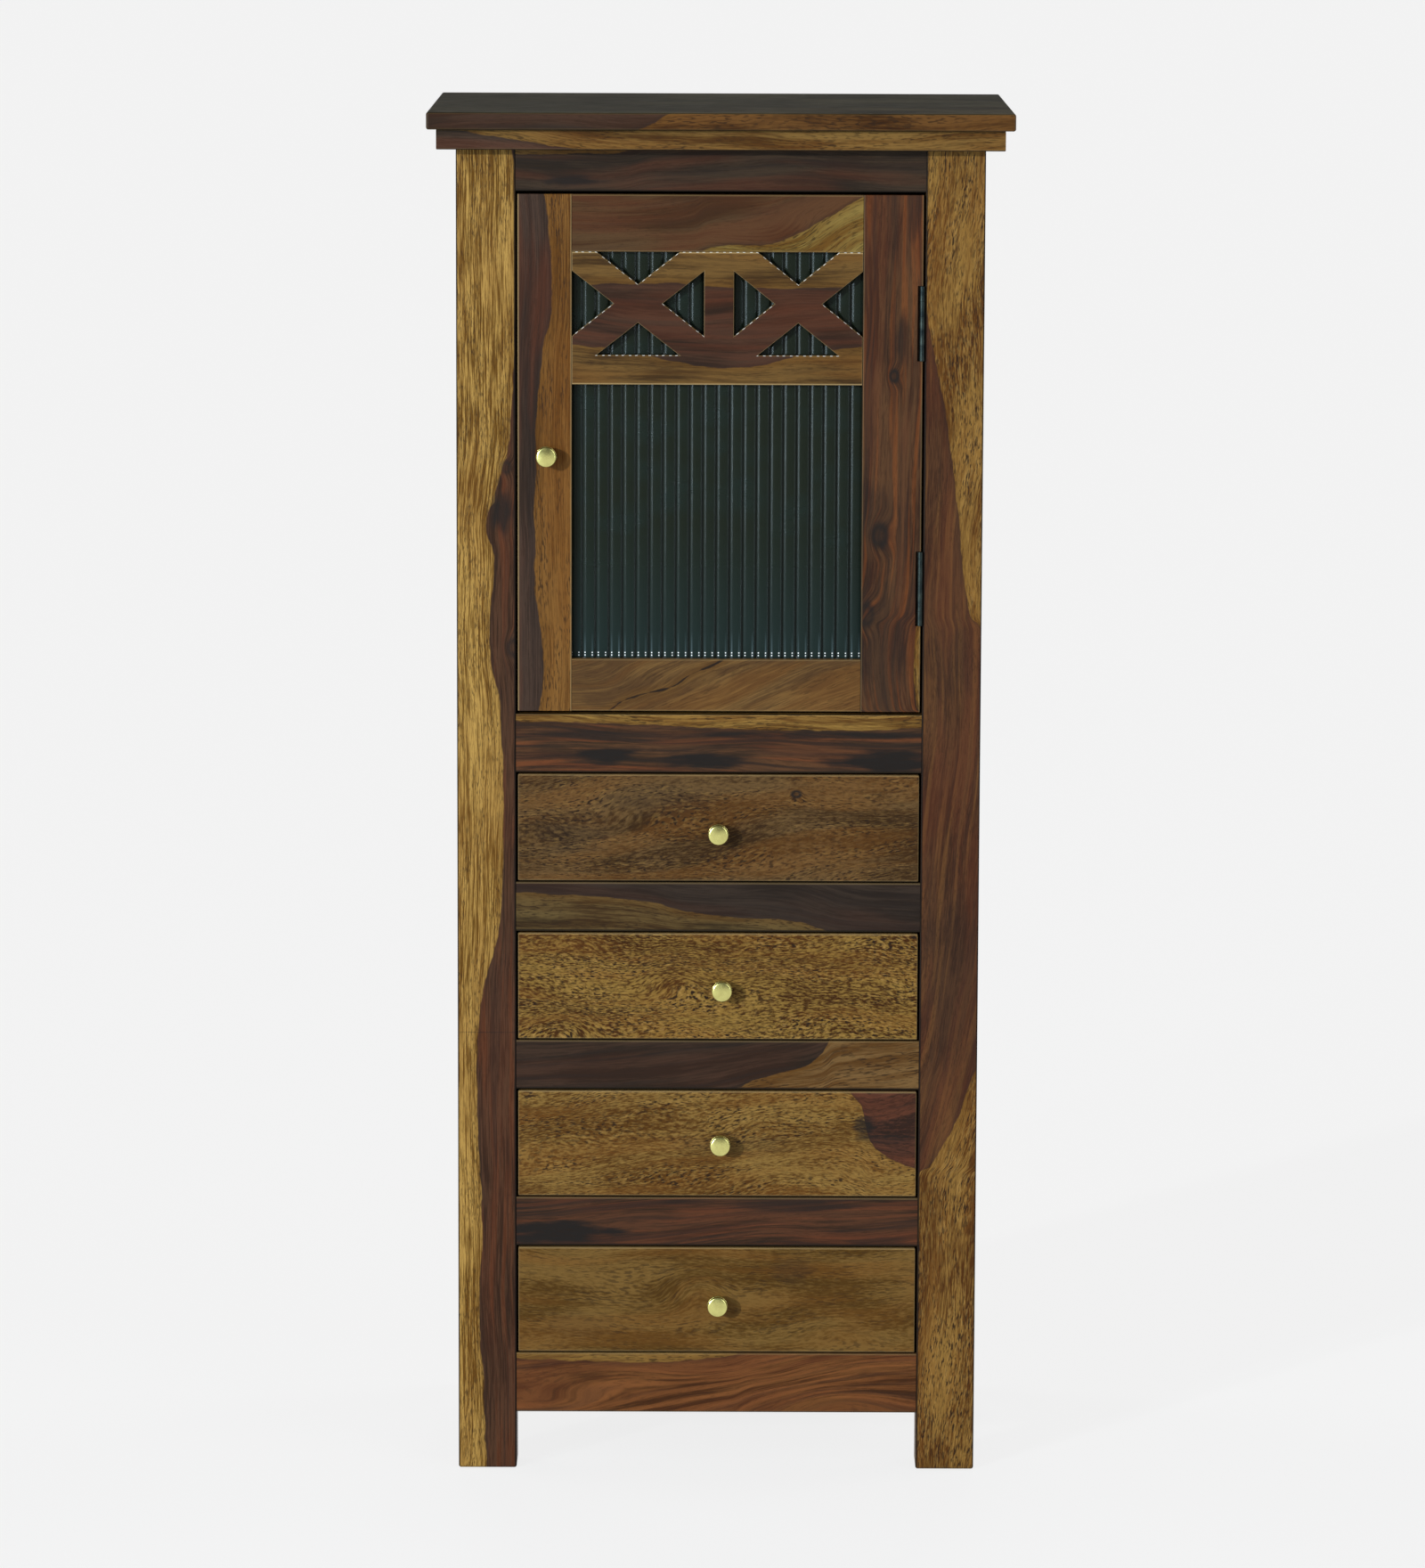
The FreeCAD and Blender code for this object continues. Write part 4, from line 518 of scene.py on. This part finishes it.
# How far a point is from the nearest flute's crown, and the painted shade in the valley between two flutes
first_crown = pane_middle - flute_pitch * (flute_count - 1) / 2
valley_edge = (flute_pitch - valley_wide) / 2
away = add(tree, "Math", {0: place["X"], 1: crown_shift - first_crown}, operation="ADD")
away = add(tree, "Math", {0: away, 1: flute_pitch / 2}, operation="PINGPONG")
painted_valley_shade = add(tree, "MapRange", {"Value": away, "From Min": valley_edge - 0.5, "From Max": valley_edge + 0.5,
                                "To Max": 0.85})

# The faint painted highlight streak above the spots, uneven from flute to flute
away = add(tree, "Math", {0: away, 1: spot_off}, operation="SUBTRACT")
rise = add(tree, "Math", {0: place["Z"], 1: rail_edge + spot_rise}, operation="SUBTRACT")
painted_streak = add(tree, "Math", {0: away}, operation="ABSOLUTE")
painted_streak = add(tree, "MapRange", {"Value": painted_streak, "From Min": 0.2, "From Max": streak_half, "To Min": 0.4,
                                "To Max": 0.0})
fade = add(tree, "MapRange", {"Value": rise, "From Min": 2.0, "From Max": streak_high, "To Min": 1.0,
                              "To Max": 0.0})
painted_streak = add(tree, "Math", {0: painted_streak, 1: fade}, operation="MULTIPLY")
changes_per_mm = 0.13
uneven = add(tree, "TexNoise", {"W": place["X"], "Scale": changes_per_mm, "Detail": 0.0},
             noise_dimensions="1D")
uneven = add(tree, "MapRange", {"Value": uneven, "From Min": 0.35, "From Max": 0.65})
painted_streak = add(tree, "Math", {0: painted_streak, 1: uneven}, operation="MULTIPLY")

# The two white painted highlights, mirrored about the level halfway between them
rise_off = add(tree, "Math", {0: rise, 1: -spot_step / 2}, operation="ADD")
rise_off = add(tree, "Math", {0: rise_off}, operation="ABSOLUTE")
rise_off = add(tree, "Math", {0: rise_off, 1: spot_step / 2}, operation="SUBTRACT")
painted_spot = add(tree, "CombineXYZ", {0: away, 1: rise_off})
painted_spot = add(tree, "VectorMath", {0: painted_spot}, operation="LENGTH")
painted_spot = add(tree, "MapRange", {"Value": painted_spot, "From Min": 0.42 * spot_wide, "From Max": 0.62 * spot_wide,
                              "To Min": 1.0, "To Max": 0.0})

# A cloudy blue painted reflection, which is even along the foot of the pane
painted_blue_reflection = add(tree, "VectorMath", {0: point, 1: (1 / cloud_wide, 1 / cloud_wide, 1 / cloud_high)},
           operation="MULTIPLY")
painted_blue_reflection = add(tree, "TexNoise", {"Vector": painted_blue_reflection, "Scale": 1.0, "Detail": 3.0})
painted_blue_reflection = add(tree, "MapRange", {"Value": painted_blue_reflection, "From Min": 0.45, "From Max": 0.7, "To Max": 0.5})
painted_foot_haze = add(tree, "MapRange", {"Value": place["Z"], "From Min": pane_foot + haze_low,
                              "From Max": pane_foot + haze_high, "To Min": 1.0, "To Max": 0.0})
painted_blue_reflection = add(tree, "Math", {0: painted_blue_reflection, 1: painted_foot_haze}, operation="MAXIMUM")

# Dark glass, with its painted shade, highlights and reflection mixed into the colour, a little clear except
# where the spots are, and with weak reflections
tint = linear("#1E251C")
for share, layer in ((painted_blue_reflection, "#202E2C"), (painted_valley_shade, "#0A0E09"), (painted_streak, "#728A92"), (painted_spot, "#F2F6F6")):
    tint = add(tree, "Mix", {"Factor": share, 6: tint, 7: linear(layer)}, data_type="RGBA")
tree.links.new(tint, shader.inputs["Base Color"])
clear = add(tree, "Math", {0: 0.25, 1: painted_spot}, operation="SUBTRACT", use_clamp=True)
tree.links.new(clear, shader.inputs["Transmission Weight"])
shader.inputs["Roughness"].default_value = 0.16
shader.inputs["IOR"].default_value = 1.5
shader.inputs["Specular IOR Level"].default_value = 0.06
shader.inputs["Specular Tint"].default_value = [0.5, 0.5, 0.5, 1]
nodes["door_glass"].data.materials[0] = glass

# Hinges. Two butt hinges of blackened steel, let into the right stile and post: leaves, knuckles, pins and
# countersunk screws. The blackening is worn to a dull grey-green in blotches.
black_steel = plated_steel("blackened_steel", ("#39423F", "#20282A"), 0.38)
for name in ["post_leaves", "door_leaves", "pins", "post_screws", "door_screws"]:
    nodes["hinge_" + name].data.materials[0] = black_steel

# Catch. A magnetic catch of brown plastic with the fine matt grain of its mould, screwed to the inner side
# of the left post at the middle of the door, and its zinc-plated strike plate on the back of the door.
plastic = bpy.data.materials.new("moulded_brown_plastic")
plastic.use_nodes = True
tree = plastic.node_tree
shader = tree.nodes["Principled BSDF"]
point = add(tree, "TexCoord", {}).node.outputs["Object"]
sparks = add(tree, "TexNoise", {"Vector": point, "Scale": 2500.0, "Detail": 1.0})
cloudy = add(tree, "TexNoise", {"Vector": point, "Scale": 120.0, "Detail": 2.0})
tint = add(tree, "Mix", {"Factor": cloudy, 6: linear("#33221A"), 7: linear("#452E22")}, data_type="RGBA")
tree.links.new(tint, shader.inputs["Base Color"])
gloss = add(tree, "MapRange", {"Value": sparks, "To Min": 0.4, "To Max": 0.6})
tree.links.new(gloss, shader.inputs["Roughness"])
bump = add(tree, "Bump", {"Strength": 0.3, "Distance": 0.00005, "Height": sparks})
tree.links.new(bump, shader.inputs["Normal"])
nodes["magnetic_catch"].data.materials[0] = plastic
for name in ["catch_plate", "catch_screws"]:
    nodes[name].data.materials[0] = zinc

# Knobs. Turned brass, satin, each on a screw from behind: a base, a waisted neck, a collar, a groove and a
# head with a broad bevel round a softly domed face. All five are alike: the door's is turned, the rest are
# copies.


def turned(name, centre, start, first, steps):
    """Turn a solid about the y axis through centre: a disc, then a ring for each radius and step out."""
    facets = 64
    bevel = 0.0004
    sharp = math.radians(25)
    smooth = math.radians(40)
    piece = bpy.data.objects.new(name, bpy.data.meshes.new(name))
    bpy.context.scene.collection.objects.link(piece)
    bpy.ops.object.select_all(action="DESELECT")
    piece.select_set(True)
    bpy.context.view_layer.objects.active = piece
    bpy.ops.object.mode_set(mode="EDIT")
    middle = Vector((centre.x, start, centre.z))
    bpy.ops.mesh.primitive_circle_add(vertices=facets, radius=first / 1000, fill_type="NGON",
                                      location=middle, rotation=(math.pi / 2, 0, 0))
    radius = first
    for next_radius, step in steps:
        middle.y -= step / 1000
        bpy.ops.mesh.extrude_region_move(TRANSFORM_OT_translate={"value": (0, -step / 1000, 0)})
        share = next_radius / radius
        bpy.ops.transform.resize(value=(share, 1, share), center_override=middle)
        radius = next_radius
    bpy.ops.mesh.select_all(action="SELECT")
    bpy.ops.mesh.normals_make_consistent(inside=False)
    bpy.ops.object.mode_set(mode="OBJECT")
    bpy.ops.object.modifier_add(type="BEVEL")
    piece.modifiers["Bevel"].width = bevel
    piece.modifiers["Bevel"].segments = 3
    piece.modifiers["Bevel"].limit_method = "ANGLE"
    piece.modifiers["Bevel"].angle_limit = sharp
    bpy.ops.object.modifier_apply(modifier="Bevel")
    bpy.ops.object.shade_smooth_by_angle(angle=smooth)
    return piece


def turned_metal(name, shades, rough, centre):
    """Satin metal with the rings that the lathe leaves round the axis, drawn coarser than real ones."""
    material = bpy.data.materials.new(name)
    material.use_nodes = True
    tree = material.node_tree
    shader = tree.nodes["Principled BSDF"]
    point = add(tree, "TexCoord", {}).node.outputs["Object"]
    away = add(tree, "VectorMath", {0: point, 1: (-centre.x, 0, -centre.z)}, operation="ADD")
    away = add(tree, "VectorMath", {0: away, 1: (1000, 0, 1000)}, operation="MULTIPLY")
    radius = add(tree, "VectorMath", {0: away}, operation="LENGTH")
    rings = add(tree, "TexNoise", {"W": radius, "Scale": 2.4, "Detail": 2.0}, noise_dimensions="1D")
    stain = add(tree, "TexNoise", {"Vector": point, "Scale": 140.0, "Detail": 2.0})
    dull = add(tree, "MapRange", {"Value": stain, "From Min": 0.3, "From Max": 0.7})
    tint = add(tree, "Mix", {"Factor": dull, 6: linear(shades[1]), 7: linear(shades[0])}, data_type="RGBA")
    tree.links.new(tint, shader.inputs["Base Color"])
    gloss = add(tree, "MapRange", {"Value": stain, "From Min": 0.3, "From Max": 0.7,
                                   "To Min": rough - 0.03, "To Max": rough + 0.05})
    tree.links.new(gloss, shader.inputs["Roughness"])
    bump = add(tree, "Bump", {"Strength": 0.15, "Distance": 0.0001, "Height": rings})
    tree.links.new(bump, shader.inputs["Normal"])
    shader.inputs["Metallic"].default_value = 1.0
    return material


# Each step is a radius in mm and how much further out it lies. The dome of the face falls by the square of
# the radius. The screw shows its head alone
knob_base = 8.0
knob_reach = 19.6
knob_steps = [(8.0, 2.4), (5.5, 6.6), (10.8, 0.0), (10.8, 4.4), (8.6, 0.0), (8.6, 1.6), (10.6, 0.0),
              (10.6, 2.5), (10.3, 0.7), (9.7, 0.45), (9.0, 0.25), (8.3, 0.1)]
screw_flat = 2.6
screw_steps = [(4.0, 0.8), (4.0, 1.6)]
dome_rise = 0.6
dome_rings = 6
face_radius = knob_steps[-1][0]
for ring in range(1, dome_rings):
    share = 1 - ring / dome_rings
    knob_steps.append((face_radius * share, dome_rise * ((share + 1 / dome_rings) ** 2 - share ** 2)))
owners = ["door"] + [f"drawer_{number}" for number in range(1, 5)]
for owner in owners:
    low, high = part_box(owner + "_knob")
    centre = (low + high) / 2
    if owner == owners[0]:
        first_centre = centre
        knob = turned(owner + "_turned_knob", centre, low.y + knob_reach / 1000, knob_base, knob_steps)
        screw = turned(owner + "_knob_screw", centre, high.y, screw_flat, screw_steps)
        pair = [knob, screw]
    else:
        pair = []
        for piece, name in ((knob, "_turned_knob"), (screw, "_knob_screw")):
            copy = bpy.data.objects.new(owner + name, piece.data.copy())
            copy.data.transform(Matrix.Translation(centre - first_centre))
            copy.data.materials.clear()
            bpy.context.scene.collection.objects.link(copy)
            pair.append(copy)
    pair[0].data.materials.append(turned_metal(owner + "_satin_brass", ("#D8D486", "#C8C27A"), 0.24, centre))
    pair[1].data.materials.append(turned_metal(owner + "_screw_zinc", ("#B4B6B8", "#96989A"), 0.35, centre))
    for piece in pair:
        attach(piece, owner)
        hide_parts(owner + "_knob")

# Floor. A plain pale studio floor, wide enough to reach the horizon behind the cabinet. Seen by the camera,
# or mirrored in metal and glass, it is pale by itself and keeps the cabinet's soft shadow.
floor_half = 70.0
floor_pale = "#F1F1F1"
own_light = 0.935
bpy.ops.object.select_all(action="DESELECT")
bpy.ops.mesh.primitive_circle_add(vertices=64, radius=floor_half, fill_type="NGON")
floor = bpy.context.object
floor.name = "studio_floor"
paper = bpy.data.materials.new("pale_paper")
paper.use_nodes = True
tree = paper.node_tree
tree.nodes.clear()
path = add(tree, "LightPath", {}).node.outputs
seen = add(tree, "Math", {0: path["Is Camera Ray"], 1: path["Is Glossy Ray"]}, operation="MAXIMUM")
seen = add(tree, "Math", {0: seen, 1: path["Is Transmission Ray"]}, operation="MAXIMUM")
unseen_grey = add(tree, "BsdfDiffuse", {"Color": [0.5, 0.5, 0.5, 1]})
own = add(tree, "Emission", {"Color": linear(floor_pale), "Strength": own_light})
shaded = add(tree, "BsdfDiffuse", {"Color": [0.08, 0.08, 0.08, 1]})
shown = add(tree, "AddShader", {0: own, 1: shaded})
mixed = add(tree, "MixShader", {0: seen, 1: unseen_grey, 2: shown})
output = tree.nodes.new("ShaderNodeOutputMaterial")
tree.links.new(mixed, output.inputs["Surface"])
floor.data.materials.append(paper)

# Light. A key lamp from the front left, a weak soft one from the front right, and soft ones that light the
# sides and the back. Two tall strips at the front give the flutes and knobs their highlights. The surround
# is an even grey, which the camera sees as pale as the floor.


def lamp(name, azimuth, elevation, share, soft, shine=True):
    """Add a far lamp that gives a white surface square to it this share of full brightness."""
    light = bpy.data.lights.new(name, "SUN")
    light.energy = share * math.pi
    light.angle = math.radians(soft)
    thing = bpy.data.objects.new(name, light)
    turn = Matrix.Rotation(math.radians(azimuth), 4, "Z")
    thing.matrix_world = turn @ Matrix.Rotation(math.radians(90 - elevation), 4, "X")
    thing.visible_glossy = shine
    bpy.context.scene.collection.objects.link(thing)


def strip_lamp(name, azimuth, wide, low, high, strength):
    """Add a tall narrow lamp of cold light between two levels, some metres from the cabinet's middle."""
    distance = 3.6
    light = bpy.data.lights.new(name, "AREA")
    light.shape = "RECTANGLE"
    light.size = wide
    light.size_y = high - low
    light.energy = strength
    light.color = (0.7, 0.88, 1.0)
    thing = bpy.data.objects.new(name, light)
    turn = Matrix.Rotation(math.radians(azimuth), 4, "Z") @ Matrix.Rotation(math.radians(90), 4, "X")
    middle = Matrix.Translation((0, 0, (low + high) / 2))
    thing.matrix_world = middle @ turn @ Matrix.Translation((0, 0, distance))
    bpy.context.scene.collection.objects.link(thing)


lamp("key", azimuth=-40, elevation=13.5, share=0.72, soft=2.5)
lamp("fill", azimuth=50, elevation=25, share=0.2, soft=40)
lamp("rear", azimuth=180, elevation=22, share=0.5, soft=30, shine=False)
lamp("side_left", azimuth=-112, elevation=15, share=0.5, soft=30, shine=False)
lamp("side_right", azimuth=112, elevation=15, share=0.5, soft=30, shine=False)
strip_lamp("strip_left", azimuth=-31, wide=0.1, low=0.6, high=2.6, strength=46.0)
strip_lamp("strip_right", azimuth=31, wide=0.08, low=0.3, high=2.6, strength=8.0)
world = bpy.data.worlds.new("studio")
bpy.context.scene.world = world
world.use_nodes = True
tree = world.node_tree
path = add(tree, "LightPath", {}).node.outputs
seen = add(tree, "Math", {0: path["Is Camera Ray"], 1: path["Is Transmission Ray"]}, operation="MAXIMUM")
surround = add(tree, "Background", {"Color": [0.16, 0.16, 0.16, 1]})
pale = add(tree, "Background", {"Color": linear(floor_pale)})
mixed = add(tree, "MixShader", {0: seen, 1: surround, 2: pale})
tree.links.new(mixed, tree.nodes["World Output"].inputs["Surface"])

# Camera. It stands 7 m in front of the cabinet, a little above its top, and looks down at it. The angles are
# in radians, and the focal length counts pixels of the 1760 high picture.
camera_place = (-0.00828, -7.0, 1.81259)
camera_pitch = 0.15551
camera_yaw = -0.00028
camera_roll = 0.00359
focal_pixels = 7361.7
picture_high = 1760
sensor_high = 36.0
farthest = 200.0
lens = bpy.data.cameras.new("camera")
lens.sensor_fit = "VERTICAL"
lens.sensor_height = sensor_high
lens.lens = focal_pixels / picture_high * sensor_high
lens.clip_end = farthest
camera = bpy.data.objects.new("camera", lens)
turn = Matrix.Rotation(camera_yaw, 4, "Z") @ Matrix.Rotation(math.pi / 2 - camera_pitch, 4, "X")
camera.matrix_world = Matrix.Translation(camera_place) @ turn @ Matrix.Rotation(camera_roll, 4, "Z")
bpy.context.scene.collection.objects.link(camera)
bpy.context.scene.camera = camera
bpy.context.scene.view_settings.view_transform = "Standard"
